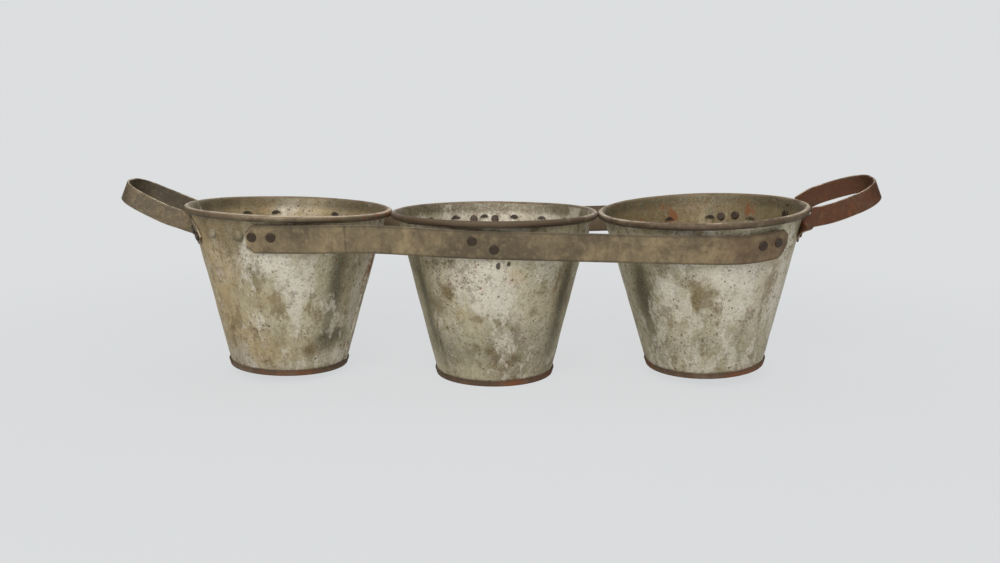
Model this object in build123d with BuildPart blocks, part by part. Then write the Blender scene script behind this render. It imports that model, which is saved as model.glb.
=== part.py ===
from build123d import *

import math
import os
from dataclasses import dataclass

# Three tapered sheet-metal herb pots in a row, riveted between two flat strips,
# with a loop handle of bent strip at each end. Millimetres, +Z up, +X along the row,
# front at -Y, origin at the centre of the middle pot's base on the floor.
# Angles round a pot are azimuths in degrees, from the front towards +X.

# Heights of the pots, and the lift of each end pot's lowest edge off the floor
LEFT_HEIGHT = 128.5
MIDDLE_HEIGHT = 131.2
RIGHT_HEIGHT = 126.6
LEFT_LIFT = 4.4
RIGHT_LIFT = 6.0

# Pot wall, its lapped seam, and its rim rolled outward round a wire
RIM_RADIUS = 81.5
BASE_RADIUS = 45.8
SHEET = 0.8
WIRE_RADIUS = 1.8
CURL_ANGLE = 290.0
SEAM_LAP = 10.0
SEAM_END_GAP = 0.5

# Base pan, crimped round the foot of the wall
PAN_SHEET = 1.0
FLANGE_HEIGHT = 5.0
FLANGE_THICKNESS = 1.8
PAN_CORNER = 0.8

# Ring of punched bumps, at the height of the strips
BUMP_RADIUS = 4.5
BUMP_RISE = 1.2

# Gap between neighbouring rims
RIM_GAP = 0.4

# Front and rear strips
STRIP_WIDTH = 22.0
STRIP_THICKNESS = 1.5
STRIP_CLIP = 5.0
STRIP_OVERHANG = 13.5
STRIP_WRAP = 58.0
FRONT_BELOW_RIM = 0.6
FRONT_OVER_BUMP = 0.3
FRONT_FALL = 1.0
REAR_BELOW_RIM = 2.6
REAR_OVER_BUMP = 1.2
REAR_FALL = -2.1
REAR_SWING = 0.9

# Loop handles of strip on edge, and their feet
HANDLE_WIDTH = 15.0
HANDLE_THICKNESS = 1.5
HANDLE_REACH = 51.0
HANDLE_SPREAD = 27.0
HANDLE_END = 19.0
HANDLE_BEND = 17.0
LEG_OVERRUN = 24.0
RIM_CLEARANCE = 0.3
FOOT_LENGTH = 20.0
FOOT_FALL = 28.0
FOOT_CLIP = 4.5
FOOT_RIVETS = (6.0, 14.5)

# Rivets
HEAD_RADIUS = 3.5
HEAD_HEIGHT = 1.3
HEAD_EDGE = 0.6
SHANK_RADIUS = 1.6
TAIL_RADIUS = 3.2
TAIL_HEIGHT = 1.8
TAIL_EDGE = 0.8

# Clearance between pieces that seat on or pass through each other
FIT_GAP = 0.1

curl_inner = WIRE_RADIUS + FIT_GAP / 2
curl_outer = curl_inner + SHEET
wire_r = RIM_RADIUS - curl_outer
wall_foot = PAN_SHEET + FIT_GAP
flange_out = FIT_GAP + FLANGE_THICKNESS
bump_ball = (BUMP_RADIUS**2 + BUMP_RISE**2) / (2 * BUMP_RISE)


@dataclass
class Pot:
    """One pot: its step along the row, height, lift of its lowest edge off the floor, lean
    towards +X, nod to the front, and the count and first place of its bumps and of its seam."""

    name: str
    step: int
    height: float
    lift: float
    lean: float
    nod: float
    bumps: int
    first_bump: float
    seam: float

    def __post_init__(self):
        # The wall's outer line runs from its foot tangent to the inside of the rolled rim.
        self.wire_z = self.height - curl_outer
        to_wire = math.hypot(wire_r - BASE_RADIUS, self.wire_z - wall_foot)
        bearing = math.atan2(wire_r - BASE_RADIUS, self.wire_z - wall_foot)
        self.flare = bearing - math.asin(curl_inner / to_wire)
        self.length = math.sqrt(to_wire**2 - curl_inner**2)
        self.sin, self.cos, self.tan = math.sin(self.flare), math.cos(self.flare), math.tan(self.flare)
        self.pan_radius = BASE_RADIUS - wall_foot * self.tan + flange_out / self.cos

    def stand(self, level):
        """Set the pot in the row, with its level section at the strips' height centred on the row."""
        tip_x = math.tan(math.radians(self.lean))
        tip_y = -math.tan(math.radians(self.nod))
        tip = math.hypot(tip_x, tip_y)
        tilt = math.atan(tip)
        up = Vector(tip_x, tip_y, 1).normalized()
        heel = (self.pan_radius - PAN_CORNER) * math.sin(tilt) + PAN_CORNER * (1 - math.cos(tilt))
        ring_on_axis = (level - self.lift - heel) / math.cos(tilt)
        self.ring = (ring_on_axis - wall_foot) / self.cos
        self.ring_r = self.wall_point(self.ring, 0)[0]
        drift = self.ring_r * self.tan / (1 - (self.tan * tip) ** 2)
        rims_apart = RIM_RADIUS * (1 + math.cos(tilt)) + (self.height - ring_on_axis) * abs(tip_x)
        self.x = self.step * (rims_apart + RIM_GAP - drift * abs(tip_x))
        centre = Vector(self.x - drift * tip_x, -drift * tip_y, level)
        self.plane = Plane(centre - up * ring_on_axis, x_dir=Vector(0, 1, 0).cross(up), z_dir=up)
        self.axis = Axis(self.plane.origin, up)

    def wall_point(self, along, out):
        """Radius and height of a point so far up the wall from its foot and out from its outer face."""
        return BASE_RADIUS + along * self.sin + out * self.cos, wall_foot + along * self.cos - out * self.sin

    def radial(self, azimuth):
        """Direction straight out from the pot's axis."""
        turn = math.radians(azimuth)
        return self.plane.x_dir * math.sin(turn) - self.plane.y_dir * math.cos(turn)

    def section(self, azimuth=90.0):
        """Plane through the axis, with radius along its x and height along its y."""
        away = self.radial(azimuth)
        return Plane(self.plane.origin, x_dir=away, z_dir=away.cross(self.plane.z_dir))

    def face(self, azimuth, along, out=0.0):
        """Plane lying on the wall, with x round the pot, y up the wall and z out of it."""
        radius, height = self.wall_point(along, out)
        away = self.radial(azimuth)
        origin = self.plane.origin + away * radius + self.plane.z_dir * height
        normal = away * self.cos - self.plane.z_dir * self.sin
        return Plane(origin, x_dir=self.radial(azimuth + 90), z_dir=normal)

    def place_of(self, point):
        """Azimuth of a point, and its distance up the wall."""
        local = self.plane.to_local_coords(point)
        return math.degrees(math.atan2(local.X, -local.Y)), (local.Z - wall_foot) / self.cos


left = Pot("left", -1, LEFT_HEIGHT, LEFT_LIFT, lean=2.2, nod=-0.4, bumps=18, first_bump=3.5, seam=84.0)
middle = Pot("middle", 0, MIDDLE_HEIGHT, 0.0, lean=0.0, nod=0.0, bumps=18, first_bump=9.7, seam=-51.5)
right = Pot("right", 1, RIGHT_HEIGHT, RIGHT_LIFT, lean=-2.9, nod=2.4, bumps=13, first_bump=0.8, seam=-100.0)
pots = (left, middle, right)


def stand_pots(along):
    """Stand the pots with their rings of bumps behind the front strip, which falls to the right and
    lies so far up the middle pot's wall."""
    level = middle.wall_point(along, 0)[1]
    for pot in pots:
        pot.stand(level - pot.step * 2 * RIM_RADIUS * math.tan(math.radians(FRONT_FALL)))


# The strips lie close below the middle rim, or lower where an end pot's rim would meet the front one.
strip_below = curl_outer + FRONT_BELOW_RIM + STRIP_WIDTH / 2
stand_pots(middle.length - strip_below)
strip_drop = max(0.0, *[pot.ring + strip_below - pot.length for pot in (left, right)])
stand_pots(middle.length - strip_below - strip_drop)

# Strip rivets: the pot, the distance along the strip past that pot's centre line, and
# the rise above the strip's middle line
FRONT_RIVETS = (
    (left, 4.2 - STRIP_OVERHANG, 2.0),
    (left, 18.2 - STRIP_OVERHANG, 2.0),
    (middle, -12.0, 3.0),
    (middle, 4.0, -3.0),
    (right, STRIP_WRAP - 24.0, 2.0),
    (right, STRIP_WRAP - 10.0, 2.0),
)
REAR_RIVETS = (
    (left, 8.1 - STRIP_OVERHANG, 0.0),
    (left, 21.5 - STRIP_OVERHANG, 0.0),
    (middle, -20.3, 2.0),
    (middle, -2.2, 2.0),
    (right, STRIP_WRAP - 28.0, -3.0),
    (right, STRIP_WRAP - 15.0, -3.0),
)


@dataclass
class Rivet:
    """One rivet: its name, the pot that it holds and the plane that its head sits on."""

    name: str
    pot: Pot
    seat: Plane

    def grip(self):
        """Distance from under the head to just inside the pot's wall."""
        shank = Axis(self.seat.origin, -self.seat.z_dir)
        hits = cone_side(insides[self.pot.name]).find_intersection_points(shank)
        return (hits[0][0] - self.seat.origin).length

    def on_wall(self):
        """Point where the shank comes out inside the pot."""
        return self.seat.origin - self.seat.z_dir * self.grip()


def make_cone(pot, out):
    """Solid cone from the wall's foot to the rim, its side so far out from the wall's outer face."""
    with BuildPart() as cone:
        with BuildSketch(pot.section()):
            with BuildLine():
                low = pot.wall_point(0, out)
                high = pot.wall_point(pot.length, out)
                Polyline((0, low[1]), low, high, (0, high[1]), close=True)
            make_face()
        revolve(axis=pot.axis)
    return cone.part


def cone_side(cone):
    """The slanting face of a cone."""
    return cone.faces().filter_by(GeomType.CONE)[0]


insides = {pot.name: make_cone(pot, -SHEET - FIT_GAP) for pot in pots}


class Strip:
    """Place of one flat strip: the side of the row that it lies on, how far it sits below the middle pot's
    rim and out from its bumps, its fall to the right and its swing away from the row there."""

    def __init__(self, name, side, below_rim, over_bump, fall, swing, places):
        self.side = side
        along = middle.length - curl_outer - below_rim - STRIP_WIDTH / 2 - strip_drop
        self.radius, height = middle.wall_point(along, BUMP_RISE + over_bump + STRIP_THICKNESS / 2)
        self.out = Vector(0, side * middle.cos, -middle.sin)
        self.up = Vector(0, side * middle.sin, middle.cos)
        self.bend_radius = self.radius / middle.cos
        self.bend_at = Vector(right.x, side * self.radius, 0) - self.out * self.bend_radius
        slope = math.radians(fall)
        level = Vector(1, 0, 0).rotate(Axis.Z, side * swing)
        along_row = level * math.cos(slope) - Vector(0, 0, math.sin(slope))
        above = level * math.sin(slope) + Vector(0, 0, math.cos(slope))
        self.frame = Plane((0, 0, height), x_dir=along_row, z_dir=above)
        self.rivets = [
            Rivet(f"{name}_rivet_{number}", pot, self.seat(pot.x + past, rise))
            for number, (pot, past, rise) in enumerate(places, start=1)
        ]

    def way(self, direction):
        """Direction in the strip's own frame turned into the row's."""
        return self.frame.from_local_coords(direction) - self.frame.origin

    def section(self, run):
        """Plane across the straight stretch, with the strip's thickness along x."""
        origin = self.frame.from_local_coords(Vector(run, self.side * self.radius, 0))
        return Plane(origin, x_dir=self.way(self.out * self.side), z_dir=self.frame.x_dir)

    def seat(self, run, rise):
        """Plane on the outer face, so far along the strip from the row's middle and above its middle line."""
        straight = min(run, right.x)
        bend = -self.side * math.degrees((run - straight) / self.bend_radius)
        axis = Axis((0, 0, 0), self.up)
        arm = Vector(straight - right.x, 0, 0) + self.out * (self.bend_radius + STRIP_THICKNESS / 2)
        origin = self.frame.from_local_coords(self.bend_at + arm.rotate(axis, bend) + self.up * rise)
        along = Vector(-self.side, 0, 0).rotate(axis, bend)
        return Plane(origin, x_dir=self.way(along), z_dir=self.way(self.out.rotate(axis, bend)))


def make_strip(place):
    """Flat strip with clipped corners, straight along the pots and bent round the right one, where it
    climbs as flat strip does on a taper."""
    start = left.x - STRIP_OVERHANG
    bend_axis = Axis(place.frame.from_local_coords(place.bend_at), place.way(place.up) * -place.side)
    bend = math.degrees(STRIP_WRAP / place.bend_radius)
    with BuildPart() as strip:
        with BuildSketch(place.section(start)):
            Rectangle(STRIP_THICKNESS, STRIP_WIDTH)
        extrude(amount=right.x - start)
        with BuildSketch(place.section(right.x)):
            Rectangle(STRIP_THICKNESS, STRIP_WIDTH)
        revolve(axis=bend_axis, revolution_arc=bend)
        flats = strip.faces().filter_by(GeomType.PLANE).sort_by(Axis.X)
        for end in (flats[0], flats[-1]):
            chamfer(end.edges().sort_by(SortBy.LENGTH)[:2], STRIP_CLIP)
        with Locations(*[rivet.seat for rivet in place.rivets]):
            Hole(SHANK_RADIUS + FIT_GAP, depth=2 * STRIP_THICKNESS)
    return strip.part


class Handle:
    """Place of one loop handle: the plane of its loop, its feet and their rivets. The loop rises from
    the rim, rolls up at one leg, and its upper edge stands so far above the rim wire. Its feet turn
    outward, away from each other, with toe 1, and inward with toe -1."""

    def __init__(self, pot, azimuth, rise, roll, edge, toe):
        self.pot = pot
        self.toe = toe
        slope = math.radians(rise)
        tip = math.radians(roll)
        away, up = pot.radial(azimuth), pot.plane.z_dir
        along = away * math.cos(slope) + up * math.sin(slope)
        level = up * math.cos(slope) - away * math.sin(slope)
        normal = level * math.cos(tip) - level.cross(along) * math.sin(tip)
        rim = pot.plane.origin + away * wire_r + up * pot.wire_z
        self.loop = Plane(rim + level * (edge - HANDLE_WIDTH / 2), x_dir=along, z_dir=normal)
        self.feet = [self.foot_place(turn) for turn in (-1, 1)]
        self.rivets = [
            Rivet(f"{pot.name}_handle_rivet_{number}", pot, seat)
            for number, seat in enumerate(self.rivet_seats(), start=1)
        ]

    def leg(self, reach):
        """Half the distance between the legs, so far out from the rim."""
        return HANDLE_SPREAD + (HANDLE_END - HANDLE_SPREAD) * reach / HANDLE_REACH

    def foot_place(self, turn):
        """Azimuth and distance up the wall where one leg lands, with the way that its foot turns."""
        tip = self.loop.from_local_coords(Vector(HANDLE_REACH, turn * HANDLE_END, 0))
        root = self.loop.from_local_coords(Vector(0, turn * HANDLE_SPREAD, 0))
        hits = cone_side(make_cone(self.pot, 0)).find_intersection_points(Axis(tip, root - tip))
        return (*self.pot.place_of(hits[0][0]), turn * self.toe)

    def rivet_seats(self):
        """Planes on the feet's outer faces, down the middle of each foot."""
        fall = math.radians(FOOT_FALL)
        seats = []
        for azimuth, along, turn in self.feet:
            for step in FOOT_RIVETS:
                lower = along - step * math.sin(fall)
                round_by = math.degrees(step * math.cos(fall) / self.pot.wall_point(lower, 0)[0])
                seats.append(self.pot.face(azimuth + turn * round_by, lower, FIT_GAP + HANDLE_THICKNESS))
        return seats


def make_foot(pot, azimuth, along, turn):
    """Foot of a handle: a clipped tab lying on the wall, falling away from the leg."""
    fall = -FOOT_FALL if turn > 0 else 180 + FOOT_FALL
    flat = pot.face(azimuth, along)
    down = flat.x_dir.rotate(Axis((0, 0, 0), flat.z_dir), fall)
    with BuildPart() as foot:
        add(make_cone(pot, FIT_GAP + HANDLE_THICKNESS))
        add(make_cone(pot, FIT_GAP), mode=Mode.SUBTRACT)
        with BuildSketch(Plane(flat.origin, x_dir=down, z_dir=flat.z_dir)) as outline:
            Rectangle(FOOT_LENGTH, HANDLE_WIDTH, align=(Align.MIN, Align.CENTER))
            chamfer(outline.vertices().group_by(Axis.X)[-1], FOOT_CLIP)
        extrude(amount=RIM_RADIUS / 2, both=True, mode=Mode.INTERSECT)
    return foot.part


def make_handle(handle):
    """Strip on edge bent to a loop, its legs notched for the rim, cut to the wall and joined to feet."""
    feet = [make_foot(handle.pot, *place) for place in handle.feet]
    root = handle.leg(-LEG_OVERRUN)
    with BuildPart() as strip:
        with BuildLine(handle.loop) as loop:
            FilletPolyline(
                (-LEG_OVERRUN, -root),
                (HANDLE_REACH, -HANDLE_END),
                (HANDLE_REACH, HANDLE_END),
                (-LEG_OVERRUN, root),
                radius=HANDLE_BEND,
            )
        with BuildSketch(Plane(loop.line @ 0, x_dir=handle.loop.z_dir, z_dir=loop.line % 0)):
            Rectangle(HANDLE_WIDTH, HANDLE_THICKNESS)
        sweep(path=loop.line)
        add(make_cone(handle.pot, FIT_GAP), mode=Mode.SUBTRACT)
        for foot in feet:
            add(foot)
        with BuildSketch(handle.pot.section()):
            with Locations((wire_r, handle.pot.wire_z)):
                Circle(curl_outer + RIM_CLEARANCE)
            with Locations((wire_r + curl_outer + RIM_CLEARANCE, handle.pot.wire_z)):
                Rectangle(2 * LEG_OVERRUN, HANDLE_WIDTH, align=(Align.MAX, Align.MIN))
        revolve(axis=handle.pot.axis, mode=Mode.SUBTRACT)
        with Locations(*[rivet.seat for rivet in handle.rivets]):
            Hole(SHANK_RADIUS + FIT_GAP, depth=2 * HANDLE_THICKNESS)
    return strip.part


def bump_azimuths(pot, rivets, handles):
    """Azimuths of the punched ring, leaving out the bumps under a rivet, a handle's foot or the seam."""
    taken = [(pot.seam, SEAM_LAP / 2)]
    taken += [(pot.place_of(rivet.on_wall())[0], TAIL_RADIUS) for rivet in rivets]
    fall = math.radians(FOOT_FALL)
    foot_reach = FOOT_LENGTH * math.cos(fall)
    half_foot = (foot_reach + HANDLE_WIDTH * math.sin(fall)) / 2
    for handle in handles:
        for azimuth, _, turn in handle.feet:
            taken.append((azimuth + turn * math.degrees(foot_reach / 2 / pot.ring_r), half_foot))
    ring = [pot.first_bump + 360 * step / pot.bumps for step in range(pot.bumps)]
    clear = []
    for azimuth in ring:
        apart = [(abs((azimuth - spot + 180) % 360 - 180), half) for spot, half in taken]
        if all(gap > math.degrees((half + BUMP_RADIUS) / pot.ring_r) for gap, half in apart):
            clear.append(azimuth)
    return clear


def make_bumps(pot, azimuths):
    """Caps of balls standing out of the wall, with the places of their balls."""
    places = [pot.face(azimuth, pot.ring, BUMP_RISE - bump_ball) for azimuth in azimuths]
    with BuildPart() as caps:
        with Locations(*places):
            Sphere(bump_ball)
        add(make_cone(pot, -SHEET / 2), mode=Mode.SUBTRACT)
    return caps.part, places


def make_wall(pot, azimuths, rivets):
    """Conical sheet with punched bumps, a lapped seam, rivet holes and its rim rolled round the wire."""
    caps, ball_places = make_bumps(pot, azimuths)
    curl_start = 180 - math.degrees(pot.flare)
    seam_low = (FLANGE_HEIGHT - wall_foot) / pot.cos + SEAM_END_GAP
    seam_high = pot.length - curl_outer - SEAM_END_GAP
    seam_turn = math.degrees(SEAM_LAP / pot.ring_r)
    with BuildPart() as wall:
        with BuildSketch(pot.section()):
            with BuildLine():
                inner = CenterArc((wire_r, pot.wire_z), curl_inner, curl_start, -CURL_ANGLE)
                outer = CenterArc((wire_r, pot.wire_z), curl_outer, curl_start, -CURL_ANGLE)
                Line(inner @ 1, outer @ 1)
                Polyline(outer @ 0, pot.wall_point(-SHEET * pot.tan, -SHEET), pot.wall_point(0, 0), inner @ 0)
            make_face()
        revolve(axis=pot.axis)
        add(caps)
        with Locations(*ball_places):
            Sphere(bump_ball - SHEET, mode=Mode.SUBTRACT)
        with BuildSketch(pot.section(pot.seam - seam_turn / 2)):
            with BuildLine():
                Polyline(
                    pot.wall_point(seam_low, -SHEET / 2),
                    pot.wall_point(seam_low, SHEET),
                    pot.wall_point(seam_high, SHEET),
                    pot.wall_point(seam_high, -SHEET / 2),
                    close=True,
                )
            make_face()
        revolve(axis=pot.axis, revolution_arc=seam_turn)
        for rivet in rivets:
            with Locations(rivet.seat):
                Hole(SHANK_RADIUS + FIT_GAP, depth=rivet.grip() + SHEET)
    return wall.part


def make_rim_wire(pot):
    """Wire ring inside the rolled rim."""
    with BuildPart() as wire:
        with BuildSketch(pot.section()):
            with Locations((wire_r, pot.wire_z)):
                Circle(WIRE_RADIUS)
        revolve(axis=pot.axis)
    return wire.part


def make_base_pan(pot):
    """Bottom disc with a flange turned up round the foot of the wall."""
    rise = (FLANGE_HEIGHT - wall_foot) / pot.cos
    with BuildPart() as pan:
        with BuildSketch(pot.section()) as profile:
            with BuildLine():
                Polyline(
                    (0, 0),
                    (pot.pan_radius, 0),
                    pot.wall_point(rise + flange_out * pot.tan, flange_out),
                    pot.wall_point(rise + FIT_GAP * pot.tan, FIT_GAP),
                    pot.wall_point(FIT_GAP * (pot.sin - 1) / pot.cos, FIT_GAP),
                    (0, PAN_SHEET),
                    close=True,
                )
            make_face()
            lip = profile.vertices().group_by(Axis.Y)[-1]
            heel = profile.vertices().group_by(Axis.Y)[0].sort_by(Axis.X)[-1]
            fillet(lip, FLANGE_THICKNESS / 3)
            fillet(heel, PAN_CORNER)
        revolve(axis=pot.axis)
    return pan.part


def make_rivet(rivet):
    """Round flat-headed rivet, its tail hammered down inside the pot."""
    grip = rivet.grip()
    with BuildPart() as tail:
        with BuildSketch(rivet.seat.offset(-grip - TAIL_HEIGHT)):
            Circle(TAIL_RADIUS)
        extrude(amount=2 * TAIL_HEIGHT)
        ends = tail.faces().filter_by(GeomType.PLANE).sort_by(Axis(rivet.seat.origin, rivet.seat.z_dir))
        fillet(ends[0].edges(), TAIL_EDGE)
        add(insides[rivet.pot.name], mode=Mode.INTERSECT)
    with BuildPart() as body:
        with BuildSketch(rivet.seat):
            Circle(HEAD_RADIUS)
        extrude(amount=HEAD_HEIGHT)
        ends = body.faces().filter_by(GeomType.PLANE).sort_by(Axis(rivet.seat.origin, rivet.seat.z_dir))
        fillet(ends[-1].edges(), HEAD_EDGE)
        with BuildSketch(rivet.seat):
            Circle(SHANK_RADIUS)
        extrude(amount=-grip - TAIL_HEIGHT / 2)
        add(tail.part)
    return body.part


handles = (
    Handle(left, -90.0, rise=21.5, roll=0.0, edge=-0.5, toe=1),
    Handle(right, 90.0, rise=20.5, roll=3.0, edge=1.8, toe=-1),
)
front = Strip("front_strip", -1, FRONT_BELOW_RIM, FRONT_OVER_BUMP, FRONT_FALL, 0.0, FRONT_RIVETS)
rear = Strip("rear_strip", 1, REAR_BELOW_RIM, REAR_OVER_BUMP, REAR_FALL, REAR_SWING, REAR_RIVETS)
rivets = [rivet for holder in (front, rear, *handles) for rivet in holder.rivets]

pieces = {"front_strip": make_strip(front), "rear_strip": make_strip(rear)}
for handle in handles:
    pieces[f"{handle.pot.name}_handle"] = make_handle(handle)
for pot in pots:
    own_rivets = [rivet for rivet in rivets if rivet.pot is pot]
    own_handles = [handle for handle in handles if handle.pot is pot]
    bumps = bump_azimuths(pot, own_rivets, own_handles)
    pieces[f"{pot.name}_pot_wall"] = make_wall(pot, bumps, own_rivets)
    pieces[f"{pot.name}_rim_wire"] = make_rim_wire(pot)
    pieces[f"{pot.name}_base_pan"] = make_base_pan(pot)
for rivet in rivets:
    pieces[rivet.name] = make_rivet(rivet)

os.makedirs("parts", exist_ok=True)
for name, part in pieces.items():
    part.label = name
    export_step(part, f"parts/{name}.step")
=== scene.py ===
"""Row of three aged zinc herb pots held by riveted strips: surfaces, finishes and studio."""

import math

import bpy
import numpy as np
from bpy.props import FloatProperty, FloatVectorProperty, PointerProperty
from bpy.types import Operator, Panel, PropertyGroup
from mathutils import Euler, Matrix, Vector


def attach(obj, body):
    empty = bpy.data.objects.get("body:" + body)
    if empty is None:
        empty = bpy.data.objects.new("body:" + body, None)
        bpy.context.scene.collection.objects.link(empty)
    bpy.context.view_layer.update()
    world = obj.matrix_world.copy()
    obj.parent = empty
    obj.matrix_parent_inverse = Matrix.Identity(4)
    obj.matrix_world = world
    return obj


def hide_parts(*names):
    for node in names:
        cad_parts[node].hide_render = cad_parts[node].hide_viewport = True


bl_info = {
    "name": "Riveted Herb Planter",
    "version": (1, 0, 0),
    "blender": (4, 5, 0),
    "location": "View3D > Sidebar > Planter",
    "description": "Builds the aged sheet metal, strips, handles and studio of a row of herb pots",
    "category": "Object",
}

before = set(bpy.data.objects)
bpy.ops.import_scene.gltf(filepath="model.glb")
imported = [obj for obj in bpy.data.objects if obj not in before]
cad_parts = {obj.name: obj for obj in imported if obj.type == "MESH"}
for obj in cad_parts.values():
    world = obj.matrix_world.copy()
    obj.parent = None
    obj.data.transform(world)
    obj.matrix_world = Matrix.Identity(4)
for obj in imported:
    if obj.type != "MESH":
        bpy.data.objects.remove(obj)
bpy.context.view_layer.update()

MM = 0.001

# Step between two rows of points at a sharp edge, in metres
HAIR = 0.00001

# Angle over which an edge stays sharp in the shading
SHARP_EDGE = math.radians(40.0)


def screen(red, green, blue):
    """Linear colour of an 8-bit screen colour."""
    share = np.array((red, green, blue)) / 255
    linear = np.where(share <= 0.04045, share / 12.92, ((share + 0.055) / 1.055) ** 2.4)
    return tuple(float(part) for part in linear)


def length(label, about, size):
    """Length property given in millimetres."""
    return FloatProperty(name=label, description=about, default=size * MM, min=0, unit="LENGTH", precision=4)


def angle(label, about, degrees):
    """Angle property given in degrees."""
    return FloatProperty(name=label, description=about, default=math.radians(degrees), subtype="ANGLE")


def colour(label, about, red, green, blue):
    """Colour property given as an 8-bit screen colour."""
    tone = screen(red, green, blue)
    return FloatVectorProperty(name=label, description=about, default=tone, min=0, max=1, subtype="COLOR")


def power(label, about, watts):
    """Strength of a light in watts."""
    return FloatProperty(name=label, description=about, default=watts, min=0, unit="POWER")


class PlanterPots(PropertyGroup):
    """Sizes of the pots' sheet metal."""

    sheet: length("Sheet", "Thickness of the walls", 0.8)
    base_radius: length("Base radius", "Outer radius of a wall at its foot", 45.8)
    wall_foot: length("Wall foot", "Height of a wall's foot over the pan's underside", 1.1)
    roll_gap: length("Roll gap", "Play between the rim wire and the rolled rim", 0.05)
    roll_turn: angle("Roll turn", "How far round the wire the rim is rolled", 290)
    bump_radius: length("Bump radius", "Radius of the punched bumps", 4.5)
    bump_rise: length("Bump rise", "Height of the punched bumps", 1.2)
    seam_lap: length("Seam lap", "Width of the lapped seam", 10.0)
    pan_sheet: length("Pan sheet", "Thickness of the base pan", 1.0)
    flange_height: length("Flange height", "Height of the pan's turned-up flange", 5.0)
    flange_out: length("Flange", "How far the flange stands out of the wall", 1.4)
    dent: length("Dents", "Depth of the walls' shallow dents", 0.38)
    wobble: length("Rim wobble", "How far the rim strays from a true circle", 0.5)


class PlanterStraps(PropertyGroup):
    """Sizes of the strips and the loop handles."""

    width: length("Strip width", "Width of the long strips", 22.0)
    thickness: length("Strip thickness", "Thickness of the long strips", 1.5)
    clip: length("Strip clip", "Cut at the strips' corners", 5.0)
    overhang: length("Strip overhang", "Reach past the left pot's centre line", 13.5)
    wrap: length("Strip wrap", "Length bent round the right pot", 58.0)
    front_below: length("Front strip below rim", "Gap from the rim to the front strip", 0.6)
    front_over: length("Front strip over bumps", "Gap from the bumps to the front strip", 0.3)
    front_fall: angle("Front strip fall", "Fall of the front strip to the right", 1.0)
    rear_below: length("Rear strip below rim", "Gap from the rim to the rear strip", 2.6)
    rear_over: length("Rear strip over bumps", "Gap from the bumps to the rear strip", 1.2)
    rear_rise: angle("Rear strip rise", "Rise of the rear strip to the right", 2.1)
    rear_swing: angle("Rear strip swing", "Swing of the rear strip away from the row", 0.9)
    grip_width: length("Handle width", "Width of the handles' strip", 15.0)
    grip_thickness: length("Handle thickness", "Thickness of the handles' strip", 1.5)
    reach: length("Handle reach", "Reach of a loop past the rim wire", 51.0)
    spread: length("Handle spread", "Half the space between the legs at the rim", 27.0)
    end: length("Handle end", "Half the space between the legs at the loop's end", 19.0)
    bend: length("Handle bend", "Radius of the loop's two bends", 17.0)
    foot_length: length("Foot length", "Length of a handle's foot on the wall", 20.0)
    foot_clip: length("Foot clip", "Cut at a foot's corners", 4.5)
    foot_fall: angle("Foot fall", "Fall of a foot along the wall", 28.0)


class PlanterTones(PropertyGroup):
    """Colours of the aged metal."""

    zinc: colour("Zinc", "Clean grey zinc", 210, 200, 169)
    zinc_dull: colour("Dull zinc", "Weathered zinc", 168, 157, 123)
    # Also used for painted bright reflections near the side edges of the left and right pots
    pale: colour("Pale bloom", "Chalky bloom on the zinc", 235, 227, 211)
    ochre: colour("Ochre stain", "Warm stain on the zinc", 190, 164, 116)
    olive: colour("Olive stain", "Stain on the zinc", 122, 102, 66)
    # Also used for painted dark reflections in the walls' side bands, and painted shade inside under the
    # rims and round the bumps
    shade: colour("Grey stain", "Dark grey stain on the zinc", 82, 80, 66)
    # Also used for painted shade in the rolls' crease and in the upper part of the bumps' hollows
    speck: colour("Specks", "Small brown specks", 92, 68, 42)
    rust: colour("Rust", "Bright rust", 138, 80, 40)
    soot: colour("Grime", "Dark grime", 52, 45, 37)
    rim: colour("Rim", "Taupe of the rolled rims", 114, 98, 74)
    # Also used for painted shade on the rolls' undersides and on the strips' faces against the walls
    rim_rust_and_shade: colour("Rim rust", "Dark rust on the rolled rims", 78, 59, 39)
    pan: colour("Pan", "Rusty base pan", 104, 82, 63)
    pan_light: colour("Pan wear", "Worn metal of the pan", 140, 120, 98)
    strip: colour("Strip", "Bronze brown of the strips", 137, 121, 93)
    strip_light: colour("Strip bloom", "Yellowish cloud on the strips", 170, 150, 114)
    strip_dark: colour("Strip grime", "Dark brown of the strips", 92, 80, 61)
    grip: colour("Left handle", "Taupe of the left handle", 110, 98, 80)
    grip_rust: colour("Right handle", "Red-brown of the right handle", 98, 61, 39)
    grip_worn: colour("Right handle wear", "Paler patches of the right handle", 118, 88, 64)
    # Also used for the painted highlight along the tops of the rolled rims
    worn: colour("Worn edge", "Bright worn edges", 206, 188, 162)
    rivet: colour("Rivets", "Dark brown of the rivets", 66, 52, 40)


class PlanterStudio(PropertyGroup):
    """Camera, light and floor of the studio."""

    place: FloatVectorProperty(
        name="Camera",
        description="Place of the camera",
        default=(0.044, -0.7908, 0.2232),
        subtype="TRANSLATION",
    )
    turn: FloatVectorProperty(
        name="Camera turn",
        description="Tilt, roll and pan of the camera",
        default=(math.radians(79.31), 0.0, math.radians(2.86)),
        subtype="EULER",
    )
    lens: FloatProperty(name="Lens", description="Focal length in millimetres", default=36.18, min=1)
    ground: colour("Background", "Pale floor and background", 220, 222, 223)
    key: power("Key", "Strength of the front light", 25)
    top: power("Top", "Strength of the light overhead", 6.5)
    room: FloatProperty(name="Room", description="Level of the light from all round", default=0.34, min=0)
    floor_share: FloatProperty(
        name="Floor shadow",
        description="Share of the lit floor that shows",
        default=0.14,
        min=0,
        max=1,
        subtype="FACTOR",
    )


class PlanterSettings(PropertyGroup):
    """All settings of the planter."""

    pots: PointerProperty(type=PlanterPots)
    straps: PointerProperty(type=PlanterStraps)
    tones: PointerProperty(type=PlanterTones)
    studio: PointerProperty(type=PlanterStudio)


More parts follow.
